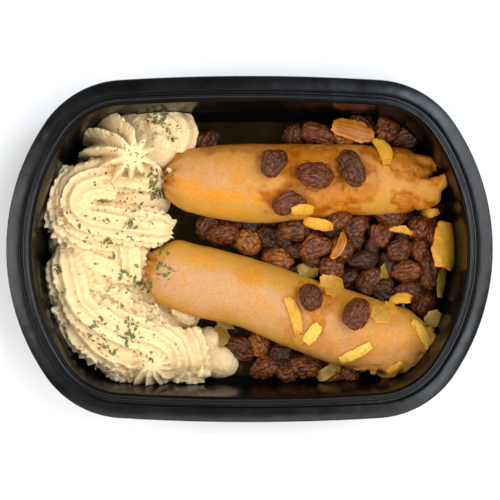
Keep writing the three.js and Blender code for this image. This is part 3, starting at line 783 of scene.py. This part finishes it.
mash = {  # path points are x, y, z, radius; mounds are centre, half axes, turn
    "toothPitch": 3.1, "toothHeight": 2.2, "toothLean": 0.9, "step": 0.4, "calm": 0.1,
    "bigLump": 6.5, "smallLump": 3, "crumbs": (1.2, 0.5), "clearance": 0.35,
    "torn": [  # x, y, radius x, radius y, strength
        (-57, -21, 16, 8, 1), (-42, -28, 12, 8, 1), (-68, -56, 18, 6, 1), (-48, 12, 10, 3, 1),
        (-87, 12, 6, 14, 1), (-88, -30, 6, 16, 1), (-36, 52, 8, 8, 1), (-26, -58, 10, 5, 1),
        (-17, -50, 13, 10, 0.3), (-29, -29, 9, 7, 0.7),
    ],
    "piles": {
        "mashRosette": {
            "node": "mash_rosette", "voxel": 0.4,
            "cones": [
                {"path": [(-61, 50, 0, 20.5), (-59, 48, 12, 19.5), (-55, 44, 25, 14.5), (-52, 41.5, 35, 10)],
                 "ridges": 10, "twist": 0.95, "valley": 0.6, "seed": 17},
            ],
            "ropes": [
                {"path": [(-50, 61, 10, 9), (-40, 59.5, 13, 9.5), (-33, 53.5, 12, 9.5), (-34.5, 46, 9, 8.5)],
                 "ridges": 9, "depth": 1.1, "tear": 0.2, "twist": 0.6, "seed": 2},
            ],
            "mounds": [((-43, 50, 4), (13, 15, 18), 0.4)],
        },
        "mashLoop": {
            "node": "mash_loop", "voxel": 0.42,
            "cones": [],
            "ropes": [
                {"path": [(-40, 32, 10, 9), (-54, 34, 14, 9), (-68, 33, 18, 9), (-77.5, 28.5, 20, 9),
                          (-80.5, 20.5, 20.5, 9), (-75, 14, 20, 9.5), (-62, 11.5, 20, 9.5),
                          (-47, 10, 19, 9.5), (-36.5, 9, 16, 9)],
                 "ridges": 11, "twist": 0.7, "fan": 7, "seed": 3},
                {"path": [(-60, 25, 22, 3.5), (-68, 26.5, 23.5, 4.6), (-74, 24.5, 23.5, 4.6),
                          (-73.5, 20, 23, 4.2), (-69, 19.5, 22, 3.5)],
                 "ridges": 6, "depth": 0.8, "seed": 4},
                {"path": [(-79, 35.5, 15, 7.5), (-85.5, 27, 18, 7.5), (-86.5, 14, 19, 7.5), (-77, 6, 16, 8),
                          (-60, 3, 10, 8)],
                 "ridges": 11, "depth": 2.2, "teeth": 1.6, "seed": 5},
            ],
            "mounds": [
                ((-60, 22, 2), (24, 13, 14), 0), ((-35.5, 35, 17.6), (3, 1.5, 1.3), -0.7),
                ((-33.6, 32.6, 19.2), (1.7, 1, 0.9), 0.4),
            ],
        },
        "mashSwirl": {
            "node": "mash_swirl", "voxel": 0.49,
            "cones": [
                {"path": [(-47, -49, 4, 15.5), (-46, -49.5, 13, 15.5), (-44, -51.5, 21.5, 11),
                          (-42.8, -52, 27, 5)],
                 "ridges": 12, "twist": 1.7, "valley": 0.74, "seed": 23},
            ],
            "ropes": [
                {"path": [(-86, -1.5, 15, 8.5), (-82.5, -13, 18, 11), (-77.5, -25, 19, 11.5),
                          (-66, -33.5, 19, 11.5), (-55, -38, 18, 11), (-43, -40.5, 18, 10.5),
                          (-35.5, -45, 17, 9.5), (-33, -53, 13, 8.5), (-36, -59, 8, 7)],
                 "ridges": 13, "depth": 1.9, "twist": 1.1, "seed": 6},
                {"path": [(-54.5, 3, 12, 9), (-54, -6, 12, 8.5), (-53, -14, 10, 7.5)],
                 "ridges": 12, "depth": 1.7, "seed": 7},
                {"path": [(-88, -1, 9, 8.5), (-76, -6, 12, 9), (-64, -11, 11, 8.5), (-54, -17, 8, 8)],
                 "ridges": 9, "depth": 1.2, "seed": 12},
                {"path": [(-87, -12, 17, 7), (-85, -26, 18, 7.5), (-77.5, -38, 18, 8),
                          (-68, -46.5, 19, 8.5), (-58, -52, 17, 8.5), (-49, -55, 13, 7.5)],
                 "ridges": 10, "depth": 2.4, "tear": 0.3, "teeth": 1.7, "seed": 8},
                {"path": [(-76, -15, 16, 6), (-65, -20, 16, 7), (-54, -27, 14, 7), (-43, -33, 11, 7)],
                 "ridges": 8, "tear": 0.28, "twist": 0.5, "seed": 10},
                {"path": [(-31, -38, 10, 8), (-27.5, -45, 12, 9), (-26, -53, 11, 9), (-27.5, -60, 7, 7.5)],
                 "ridges": 11, "depth": 1.8, "tear": 0.15, "seed": 9},
            ],
            "mounds": [
                ((-58, -30, 3), (30, 22, 11), -0.6), ((-18, -51, 2), (13.5, 8.5, 9), -0.25),
                ((-20, -43, 2), (8, 7, 9), 0.5), ((-31, -29.5, 3), (9, 6.5, 9.5), -0.5),
                ((-85, 3, 6), (8, 9, 9), 0),
            ],
        },
    },
}


def buildRope(path, ridges, seed, depth=1.8, tear=0.08, twist=0, teeth=1, fan=0):
    def section(angle, reach, share, radius):  # a star nozzle's section, torn along its crests
        turn = (angle + twist * (share - 0.5)) * ridges / (2 * math.pi)
        nearest = np.round(turn)
        crest = np.clip(1 - 2 * np.abs(turn - nearest), 0, 1)
        ridge, edge = nearest % ridges, crest**2
        aside = 0.3 + 0.9 * np.abs(np.sin(angle)) ** 1.5  # smoother on top than down the flanks
        phase = reach / mash["toothPitch"] + hashed(ridge, seed, 1)
        phase = phase + 1.1 * softNoise(reach, ridge * 9, 0, 6, seed)
        tooth = phase - np.floor(phase)
        size = 0.15 + 1.1 * hashed(np.floor(phase), ridge, seed) * (0.4 + 0.8 * hashed(ridge, 3, seed))
        size = size * aside * teeth
        deep = depth * (0.5 + 0.85 * hashed(ridge, 7, seed))
        deep = deep * (0.7 + 0.6 * softNoise(reach, ridge * 5, 3, 12, seed))
        scallop = np.abs(np.sin(math.pi * tooth)) ** 0.6
        height = deep * (crest**1.3 - 1) + mash["toothHeight"] * size * (scallop - 0.6) * edge
        lump = softNoise(reach, angle * 8, ridge, 5, seed + 20) - 0.5
        height = height + 10 * tear * lump * (0.5 + 0.5 * edge)
        finger = fan * np.clip((share - 0.88) / 0.12, 0, 1) ** 2 * (hashed(ridge, 11, seed) - 0.25) * edge
        return 1 + height / radius, finger - mash["toothLean"] * edge * tooth * size

    return tube("rope", path, ridges * 8, mash["step"], section, endShare=0.08, endRadius=0.55)


def buildCone(path, ridges, twist, valley, seed):  # a rosette, its ridges turning as they rise to the tip
    def section(angle, reach, share, radius):
        turn = (angle + twist * (1 - share)) * ridges / (2 * math.pi)
        nearest = np.round(turn)
        aside, ridge = turn - nearest, nearest % ridges
        crest = np.clip(np.where(aside < 0.12, (aside + 0.5) / 0.62, (0.5 - aside) / 0.38), 0, 1)
        long = 1.08 * (0.87 + 0.26 * hashed(ridge, 1, seed))
        ragged = softNoise(reach, ridge * 7, 0, 1.4, 31) - 0.5
        low = valley - 0.1 * share
        return low + (long - low) * crest ** (0.75 + 0.6 * share) + 0.12 * ragged * crest**2, 0

    return tube(
        "rosette", path, ridges * 12, mash["step"], section, endShare=0.05, endRadius=0.8, up=(0, 1, 0),
    )


def tearUp(piece):  # lumps with sharp creases between them, strongest in the torn places
    co = readPoints(piece)
    amount = np.full(len(co), mash["calm"])
    for x, y, rx, ry, most in mash["torn"]:
        near = 1.6 - 1.3 * np.hypot((co[:, 0] - x) / rx, (co[:, 1] - y) / ry)
        amount = np.maximum(amount, most * np.clip(near, 0, 1))
    warped = co + 2.2 * np.stack([softNoise(*co.T, 2.6, 51 + k) - 0.5 for k in range(3)], 1)
    edge, level = chunks(warped, mash["bigLump"], 41)
    smallEdge, smallLevel = chunks(warped, mash["smallLump"], 47)
    pushOut(piece, amount * (
        3.2 * (level - 0.6) + 0.9 * (np.minimum(1, 4 * edge) - 1)
        + 1.1 * (smallLevel - 0.5) + 0.4 * (np.minimum(1, 4 * smallEdge) - 1)
    ))


def buildPile(name, pile):
    cones = [buildCone(**row) for row in pile["cones"]]
    ropes = [buildRope(**row) for row in pile["ropes"]]
    mounds = [mound(*row) for row in pile["mounds"]]
    piece = fuse(cones + ropes + mounds, name, pile["voxel"])
    tearUp(piece)
    relief(piece, *mash["crumbs"])
    keepInTray(piece, mash["clearance"])
    paintReliefShade(piece, 18, 0.7)
    return finishPiece(piece, mashMaterial, "mash", pile["node"])


mashMaterial = mashCream()
mashPieces = [buildPile(name, pile) for name, pile in mash["piles"].items()]
print("mash is piped,", [len(p.data.polygons) for p in mashPieces], "faces")


# raisins

raisin = {
    "size": (15, 11, 9), "sink": 0.5, "creaseDepth": 0.6, "fineDepth": 0.45, "dent": 2.3,
    "slopeReach": 4, "pressed": 0.47, "underTries": 400, "underReach": 7.2, "underDrop": 3, "underRoom": 24,
    "tones": (1, 2, 3, 0, 2, 1, 1, 2, 0, 1, 2),
    "drifts": {  # mounds are centre and half axes, raisins are x, y, length, heading, lift
        "raisinsMiddle": {
            "node": "raisins_middle",
            "mounds": [((36, 3, 0), (31, 18, 17)), ((70, -6, 0), (21, 24, 11)), ((-4, 6.5, 0), (21, 9, 6))],
            "raisins": [
                (21, 9, 17, 20), (30, 1, 16, 25), (13, -5, 16, 10), (23, -11, 16, 10),
                (41, 15, 14, 60), (48, 11, 13.5, 30), (65, 16.3, 16.5, -25, 8.5), (60, 7, 13, 60),
                (52, -5, 15, 8), (55, -14, 15.5, 50), (73, -10, 14.5, 0), (83, -10, 17, 95),
                (78, 10, 13.5, 70), (84, 8, 14, 85), (86, 18, 12, 70), (78, 0, 10, 30),
                (69, 0, 12, 15), (42, 0, 12, -20), (38, -9, 13, -50), (62, -19, 12, -30),
                (73, -20, 14, -5), (80, -25, 13, 60), (-19, 11, 13.5, 60), (-12, 7, 15, 20),
                (0, 3, 14, -30), (9, 6, 12, -60),
            ],
        },
        "raisinsBack": {
            "node": "raisins_back",
            "mounds": [((48, 53, 0), (32, 9, 12))],
            "raisins": [
                (21, 52, 12, 80), (32, 53, 18, -20), (44, 52, 12, 0), (52, 57, 13, -40),
                (63, 56, 15, 75), (72, 51, 14, 10),
            ],
        },
        "raisinsFront": {
            "node": "raisins_front",
            "mounds": [((16, -51, 0), (32, 8, 5))],
            "raisins": [
                (-4, -46, 15, -30), (7, -55, 14.5, 35), (5, -44, 13, -65), (15, -48, 12, 0),
                (26, -54, 16.5, 10), (17, -56, 10, 30), (38, -57, 13, 20), (46, -57, 11, -30),
            ],
        },
        "raisinSingle": {"node": "raisin_single", "mounds": [], "raisins": [(-20.5, 49, 14, 60)]},
    },
    "loose": [  # x, y, length, width, heading
        (11, 39, 16, 12, 55), (30, 33.3, 18.5, 12.5, -5), (46, 36, 18.5, 11.5, -68),
        (18, 20.5, 16.5, 11.5, 10), (27.3, -21, 14.5, 11.5, 85), (48, -28.5, 16, 12.5, 70),
    ],
}


def crease(n, power):
    return (1 - np.abs(2 * n - 1)) ** power


def shapeRaisin(seed, subdivisions):
    piece = addShape("raisinShape", bpy.ops.mesh.primitive_ico_sphere_add, subdivisions=subdivisions)
    co = readPoints(piece) * mm
    lean = 0.12 * (hashed(seed, 1, 2) - 0.5)
    pinch = 1 - 0.16 * co[:, 0] ** 4 + lean * co[:, 0]
    co[:, 1:] *= pinch[:, None]
    co = co * np.array(raisin["size"]) / 2
    x, y, z = (co + seed * 37).T
    height = raisin["dent"] * (softNoise(x, y, z, 5.5, seed) - 0.5)
    height -= raisin["creaseDepth"] * crease(softNoise(x * 0.35, y, z, 2.2, seed + 1), 4)
    height -= raisin["fineDepth"] * crease(softNoise(x * 0.4, y, z, 1.1, seed + 2), 3)
    writePoints(piece, co)
    writePoints(piece, co + readNormals(piece) * height[:, None])
    return piece


def copyTo(source, matrix=Matrix.Identity(4)):  # a plain piece with its own mesh, moved in the mesh
    piece = bpy.data.objects.new("copy", source.data.copy())
    bpy.context.scene.collection.objects.link(piece)
    piece.data.transform(matrix)
    return piece


def leaning(x, y, z, slopeX, slopeY, heading, roll=0.0, scale=(1, 1, 1)):
    up = Vector((-slopeX, -slopeY, 1)).normalized()
    along = Vector((math.cos(heading), math.sin(heading), 0))
    across = up.cross(along).normalized()
    along = across.cross(up)
    turn = Matrix((along, across, up)).transposed() @ Matrix.Rotation(roll, 3, "X")
    return Matrix.Translation(Vector((x, y, z)) * mm) @ turn.to_4x4() @ Matrix.Diagonal((*scale, 1))


def slopeAt(tree, x, y, reach, most):
    here = heightAt(tree, x, y, 0)
    steps = (reach, 0), (-reach, 0), (0, reach), (0, -reach)
    right, left, back, front = (heightAt(tree, x + dx, y + dy, here) for dx, dy in steps)
    return [max(-most, min(most, rise / (2 * reach))) for rise in (right - left, back - front)]


def coreHeight(mounds, x, y):
    best = 0
    for (cx, cy, cz), (rx, ry, rz) in mounds:
        inside = 1 - ((x - cx) / rx) ** 2 - ((y - cy) / ry) ** 2
        if inside > 0:
            best = max(best, cz + rz * math.sqrt(inside))
    return best


def buildDrift(name, drift):
    chance = random.Random(name)
    tree = treeOf(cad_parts[drift["node"]])
    length, _, thickness = raisin["size"]
    copies = []
    for i, (x, y, reach, heading, *lift) in enumerate(drift["raisins"]):
        slopes = slopeAt(tree, x, y, raisin["slopeReach"], 0.7)
        z = heightAt(tree, x, y, 8) - thickness * raisin["pressed"] + sum(lift)
        matrix = leaning(
            x, y, max(z, tray["wall"] + 4), *slopes, math.radians(heading + chance.uniform(-6, 6)),
            chance.uniform(-0.6, 0.6), (reach / length, chance.uniform(0.95, 1.1), chance.uniform(1.0, 1.15)),
        )
        copies.append(copyTo(raisinShapes[(i * 5 + len(name)) % len(raisinShapes)], matrix))
    piece = fuse(copies, name, 0)
    keepInTray(piece)
    paintReliefShade(piece, 4, 0.35)
    finishPiece(piece, raisinMaterials, "raisin", drift["node"])
    for i, polygon in enumerate(piece.data.polygons):
        polygon.material_index = raisin["tones"][i // facesOfShape % len(raisin["tones"])]
    return piece


def buildUnder(name, drift):  # more raisins between and under those on top
    chance = random.Random(name + "Under")
    placed, copies = [], []
    for (cx, cy, _), (rx, ry, _) in drift["mounds"]:
        for _ in range(raisin["underTries"]):
            x, y = cx + chance.uniform(-rx, rx), cy + chance.uniform(-ry, ry)
            z = coreHeight(drift["mounds"], x, y) - raisin["underDrop"]
            close = any(math.hypot(x - px, y - py) < raisin["underReach"] for px, py in placed)
            if z < 1.5 or insetAt(x, y) < raisin["underRoom"] or close:
                continue
            placed.append((x, y))
            matrix = leaning(
                x, y, max(z, tray["wall"] + 3.5), chance.uniform(-0.4, 0.4), chance.uniform(-0.4, 0.4),
                chance.uniform(0, math.pi), chance.uniform(-1, 1),
                [chance.uniform(0.75, 0.95) for _ in range(3)],
            )
            copies.append(copyTo(lowRaisinShapes[len(placed) % len(lowRaisinShapes)], matrix))
    piece = fuse(copies, name + "Under", 0)
    keepInTray(piece)
    paintReliefShade(piece, 3, 0.35)
    return finishPiece(piece, raisinMaterials[0], "raisin", drift["node"])


def buildLoose(i, x, y, length, width, heading):
    base = raisin["size"]
    slopes = slopeAt(sausageTree, x, y, raisin["slopeReach"], 0.6)
    matrix = leaning(
        x, y, 45, *slopes, math.radians(heading), 0.3 * (-1) ** i, (length / base[0], width / base[1], 0.95),
    )
    piece = copyTo(fineRaisinShapes[i % len(fineRaisinShapes)], matrix)
    piece.name = f"raisinLoose{i + 1}"
    co = readPoints(piece)
    co[:, 2] -= min(z - heightAt(sausageTree, x, y, -50) for x, y, z in co[::5]) + raisin["sink"]
    writePoints(piece, co)
    paintReliefShade(piece, 4, 0.35)
    return finishPiece(piece, raisinMaterials[1 + i % 2], "raisin", f"raisin_loose_{i + 1}")


raisinMaterials = [raisinSkin(*row) for row in (
    ("raisinDark", (0.013, 0.003, 0.001), (0.042, 0.0095, 0.0015), (0.095, 0.026, 0.005), (0, 0, 0)),
    ("raisinBrown", (0.025, 0.006, 0.001), (0.088, 0.023, 0.003), (0.20, 0.064, 0.011), (0.02, 0, 0)),
    ("raisinRed", (0.03, 0.006, 0.001), (0.125, 0.029, 0.004), (0.27, 0.078, 0.012), (0, 0.02, 0)),
    ("raisinAmber", (0.10, 0.026, 0.004), (0.27, 0.085, 0.010), (0.40, 0.15, 0.025), (0.02, 0.02, 0)),
)]
raisinShapes = [shapeRaisin(seed, 5) for seed in range(6)]
fineRaisinShapes = [shapeRaisin(seed, 6) for seed in range(3)]
lowRaisinShapes = [shapeRaisin(seed + 10, 4) for seed in range(3)]
facesOfShape = len(raisinShapes[0].data.polygons)
driftPieces = [buildDrift(name, drift) for name, drift in raisin["drifts"].items()]
underPieces = [buildUnder(name, drift) for name, drift in raisin["drifts"].items() if drift["mounds"]]
sausageTree = treeOf(*sausagePieces, *driftPieces)
loosePieces = [buildLoose(i, *row) for i, row in enumerate(raisin["loose"])]
for shape in raisinShapes + fineRaisinShapes + lowRaisinShapes:
    bpy.data.objects.remove(shape)
print("raisins are laid,", [len(p.data.polygons) for p in driftPieces + underPieces], "faces")


# onion

onion = {
    "thickness": {"yellow": 1.2, "bright": 1.5, "golden": 1.3, "orange": 0.8, "olive": 0.8, "film": 0.45},
    "drape": {"film": 5, "golden": 1}, "anyDrape": 3.5, "ribs": 5, "taper": 0.6,
    "ragged": {"film": (0.6, 0.22), "olive": (0.4, 0.15), "bright": (0.16, 0.08)}, "anyRagged": (0.26, 0.12),
    "colours": {  # low, high and edge colour
        "yellow": ((0.66, 0.335, 0.024), (0.80, 0.455, 0.05), (0.70, 0.27, 0.012)),
        "bright": ((0.76, 0.46, 0.055), (0.86, 0.58, 0.12), (0.78, 0.42, 0.04)),
        "golden": ((0.52, 0.28, 0.016), (0.72, 0.43, 0.035), (0.78, 0.25, 0.008)),
        "orange": ((0.27, 0.07, 0.004), (0.42, 0.125, 0.008), (0.70, 0.25, 0.015)),
        "olive": ((0.20, 0.11, 0.016), (0.36, 0.22, 0.036), (0.46, 0.26, 0.03)),
        "film": ((0.36, 0.165, 0.013), (0.62, 0.34, 0.045), (0.66, 0.28, 0.018)),
    },
    "slices": [  # length, width, heading, sweep, curl, colour; each slice's centre and lean are its solid's
        (21, 14.5, 76, -1, 0, "golden"), (14, 4, 80, 0.5, 0, "olive"), (8, 3.6, 15, 0, 1, "yellow"),
        (10.5, 4, -15, 0, 1.5, "yellow"), (12.5, 5, -10, 1, 1.5, "yellow"), (10.5, 4, -15, 1, 0.5, "yellow"),
        (12, 3.4, 68, -1.5, 0, "orange"), (9.5, 6.5, -10, 0, 0.5, "olive"), (12, 10, 35, 0, 1, "film"),
        (17, 4.6, -72, 1.5, 0.5, "yellow"), (10, 5, 55, 0, 0.5, "bright"), (7, 4.5, 60, 0, 0.5, "film"),
        (13.5, 7.5, 40, 0, 0.5, "film"), (10, 4, -8, 1, 0, "yellow"), (15.5, 3.8, 33, 0, 0.5, "bright"),
        (14, 3.2, -58, 1, 1, "bright"), (8, 2.8, 45, 0, 0, "yellow"), (11.5, 5.5, 35, 0, 0, "olive"),
        (8, 6, 50, 0, 0, "olive"), (19, 9, -15, 0, 1.5, "orange"), (14, 5, -75, 2, 0.5, "yellow"),
        (13, 8.5, 60, 0, 0, "olive"), (6.5, 5.5, 70, 0, 0, "olive"),
    ],
}


def nodeFrame(node):  # the centre of a slice's solid, and its slopes along x and y
    co = readPoints(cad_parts[node])
    _, _, axes = np.linalg.svd(co - co.mean(0), full_matrices=False)
    up = axes[2] * (1 if axes[2][2] > 0 else -1)
    if up[2] < 0.5:
        up = np.array([0, 0, 1.0])
    return (co.min(0) + co.max(0)) / 2, (-up[0] / up[2], -up[1] / up[2])


def buildOnion(i, length, width, heading, sweep, curl, tone):
    centre, slopes = nodeFrame(f"onion_{i + 1}")
    thickness = onion["thickness"][tone]
    piece = addShape(f"onion{i + 1}", bpy.ops.mesh.primitive_grid_add, x_subdivisions=36, y_subdivisions=14)
    u, v, _ = (readPoints(piece) * mm).T
    broad, fine = onion["ragged"].get(tone, onion["anyRagged"])
    ragged = 1 + broad * (softNoise(u * 4, i * 9, 0, 1, 5) - 0.5)
    ragged = ragged + fine * (softNoise(u * 11, i * 9, 3, 1, 6) - 0.5)
    tip = 1 - onion["taper"] * np.abs(u) ** 3
    bend = 1 - u**2
    writePoints(piece, np.stack([
        u * length / 2 * (1 + 0.08 * (softNoise(v * 3, i, 0, 1, 7) - 0.5)),
        v * width / 2 * tip * ragged + sweep * bend,
        curl * bend + 0.12 * width * (1 - v**2) + 0.06 * np.cos(v * onion["ribs"] * math.pi),
    ], 1))
    piece.data.transform(leaning(*centre, *slopes, math.radians(heading)))
    co = readPoints(piece)
    ground = np.array([heightAt(pileTree, x, y, tray["wall"]) for x, y in co[:, :2]])
    base = co[:, 2] - thickness * 0.5
    drape = onion["drape"].get(tone, onion["anyDrape"])
    offset = np.clip(ground + 0.1 - base, -drape, drape)
    terms = np.stack([np.ones_like(u), u, v, u * u, u * v, v * v, u**3], 1)
    smooth = terms @ np.linalg.lstsq(terms, offset, rcond=None)[0]
    buried = np.percentile(ground - base - smooth, 80)
    co[:, 2] = base + smooth + min(max(buried, 0), 1.5)
    writePoints(piece, co)
    rib = 0.5 + 0.5 * np.cos((v + 0.15 * softNoise(u * 3, v * 2, i, 1, 8)) * onion["ribs"] * math.pi)
    writeAttributes(piece, rim=np.maximum(np.abs(u), np.abs(v)), rib=rib**2)
    solidify(piece, thickness, 1)
    bevel(piece, thickness * 0.25, 0.7)
    relief(piece, 2.5, thickness * 0.3)
    keepInTray(piece)
    return finishPiece(piece, onionMaterials[tone], "onion", f"onion_{i + 1}")


onionMaterials = {tone: onionFlesh("onion" + tone.title(), *row) for tone, row in onion["colours"].items()}
pileTree = treeOf(*sausagePieces, *driftPieces, *loosePieces, *mashPieces)
onionPieces = [buildOnion(i, *row) for i, row in enumerate(onion["slices"])]
print("onion is laid,", len(onionPieces), "slices")


# parsley

parsley = {
    "size": (3.3, 2.3), "thickness": 0.16, "least": 0.2, "shapes": 6,
    "clusters": [  # x, y, spread, count, biggest
        (-42, 60, 5, 24, 1.1), (-37, 55, 6, 22, 0.8), (-43, 34, 4.5, 30, 1.0), (-42, 26, 4, 30, 1.15),
        (-50, 24, 8, 20, 0.7), (-53, 9, 4.5, 14, 1.1), (-64, 3, 2.5, 6, 1.0), (-42, -3, 6, 26, 0.9),
        (-39, -10, 5, 14, 0.8), (-52, -15, 8, 34, 1.0), (-47, -17, 3, 10, 1.0), (-87, -9, 2.5, 10, 0.8),
        (-66, -38, 8, 26, 0.9), (-53, -40, 4.5, 18, 1.0), (-53, -33, 4, 12, 0.8), (-61, -47, 2.5, 5, 1.0),
        (-46, -49, 3, 6, 0.9), (-33, -44, 1.5, 3, 0.8), (-53, 47, 10, 12, 0.5), (-60, -30, 27, 90, 0.45),
        (-62, 20, 25, 90, 0.45), (-55, 48, 18, 40, 0.4), (-75, 8, 14, 14, 0.8), (-36, 30, 6, 8, 0.7),
    ],
}


def shapeFlake(seed):
    piece = addShape("flakeShape", bpy.ops.mesh.primitive_grid_add, x_subdivisions=4, y_subdivisions=2)
    u, v, _ = (readPoints(piece) * mm).T
    width = 0.6 + 0.5 * hashed(np.round(u * 2), 2, seed)
    tip = 1 - 0.5 * np.abs(u) ** 2
    writePoints(piece, np.stack([
        u * parsley["size"][0] / 2,
        v * parsley["size"][1] / 2 * width * tip + 0.3 * (hashed(np.round(u * 2), 5, seed) - 0.5),
        0.35 * (hashed(np.round(u * 2), np.round(v), seed + 3) - 0.5) + 0.2 * u**2,
    ], 1))
    solidify(piece, parsley["thickness"], 0)
    return piece


def buildParsley():
    chance = random.Random(7)
    tree = treeOf(*mashPieces, *sausagePieces)
    shapes = [shapeFlake(seed) for seed in range(parsley["shapes"])]
    copies = []
    for cx, cy, spread, count, most in parsley["clusters"]:
        for _ in range(count):
            turn, far = chance.uniform(0, 2 * math.pi), spread * chance.random() ** 0.6
            x, y = cx + far * math.cos(turn), cy + far * math.sin(turn)
            z = heightAt(tree, x, y)
            if z is None or z < 4:
                continue
            size = parsley["least"] + (most - parsley["least"]) * chance.random() ** 1.3
            slopes = slopeAt(tree, x, y, 0.8, 1.2)
            heading, scale = chance.uniform(0, 6.3), (size, size * chance.uniform(0.6, 1.2), size)
            copies.append(copyTo(chance.choice(shapes), leaning(x, y, z + 0.12, *slopes, heading, 0, scale)))
    piece = fuse(copies, "parsleyFlakes", 0)
    for shape in shapes:
        bpy.data.objects.remove(shape)
    return finishPiece(piece, parsleyLeaf(), "parsley")


parsleyPiece = buildParsley()
print("parsley is scattered,", len(parsleyPiece.data.polygons), "faces")


# sauce

sauce = {
    "thickness": 0.45, "sunk": 0.2, "backing": 0.5, "poolLevel": 2.6, "poolThickness": 1.2,
    "poolSpan": (192, 132), "poolStep": 0.9, "meniscus": 0.5, "meniscusReach": 1.0,
    "patches": {  # spots are x, y, radius x, radius y, turn, strength
        "sauceUpper": [
            (31.5, 42, 8, 3, -8, 1), (32, 23, 12, 5, 5, 1), (40, 26, 7, 4, 30, 1), (75, 39, 12, 5.5, -18, 1),
            (75, 18.5, 9, 4, -20, 1), (21, 27, 5, 4, 60, 0.8), (40, 38, 4, 6, 20, 0.8),
        ],
        "sauceLower": [(29, -22, 8, 8, 20, 0.9), (31, -34, 4, 5, 0, 0.8)],
    },
}


def buildPatch(name, spots, sausage):  # a thin film of thick sauce that hugs a sausage
    piece = copyTo(sausage)
    piece.name = name
    inside = stainAt(readPoints(piece), spots) * (readNormals(piece)[:, 2] > -0.2) > 0.02
    cutAway(piece, "FACE", [not all(inside[i] for i in polygon.vertices) for polygon in piece.data.polygons])
    co = readPoints(piece)
    lumps = softNoise(*co.T, 3, 8) + 0.6 * softNoise(*co.T, 1.4, 9)
    pushOut(piece, sauce["thickness"] * stainAt(co, spots) * lumps - sauce["sunk"])
    solidify(piece, sauce["backing"], -1)
    return finishPiece(piece, curryMaterial, "sauce")


def buildPool():  # thin sauce on the tray's floor, drawn up where it meets the food
    level = sauce["poolLevel"]
    columns, rows = (int(span / sauce["poolStep"]) for span in sauce["poolSpan"])
    grid = bpy.ops.mesh.primitive_grid_add
    piece = addShape("thinSaucePool", grid, x_subdivisions=columns, y_subdivisions=rows)
    co = readPoints(piece) * mm * np.array([*sauce["poolSpan"], 2]) / 2
    tree = treeOf(*driftPieces, *underPieces, *sausagePieces, *mashPieces, *onionPieces)
    inset, _ = insetOf(co[:, 0], co[:, 1])
    wall = float(wallInset(level))
    inside = inset > wall - 0.2
    gap = np.clip(inset - wall, 0, None)
    for i in np.flatnonzero(inside):
        spot, _, _, near = tree.find_nearest(Vector((co[i, 0], co[i, 1], level)), 4)
        if spot and spot.z > level - 0.3:
            gap[i] = min(gap[i], near)
    rise = (sauce["meniscus"] * np.exp(-gap / sauce["meniscusReach"])).reshape(rows + 1, columns + 1)
    for _ in range(2):
        total = 2 * rise[1:-1, 1:-1] + rise[:-2, 1:-1] + rise[2:, 1:-1] + rise[1:-1, :-2] + rise[1:-1, 2:]
        rise[1:-1, 1:-1] = total / 6
    co[:, 2] = level + rise.ravel()
    writePoints(piece, co)
    cutAway(piece, "VERT", ~inside)
    solidify(piece, sauce["poolThickness"], -1)
    return finishPiece(piece, thinSauce(), "sauce")


curryMaterial = currySauce()
patchPieces = [buildPatch(*row, sausage) for row, sausage in zip(sauce["patches"].items(), sausagePieces)]
pool = buildPool()
print("sauce is poured,", [len(p.data.polygons) for p in patchPieces + [pool]], "faces")
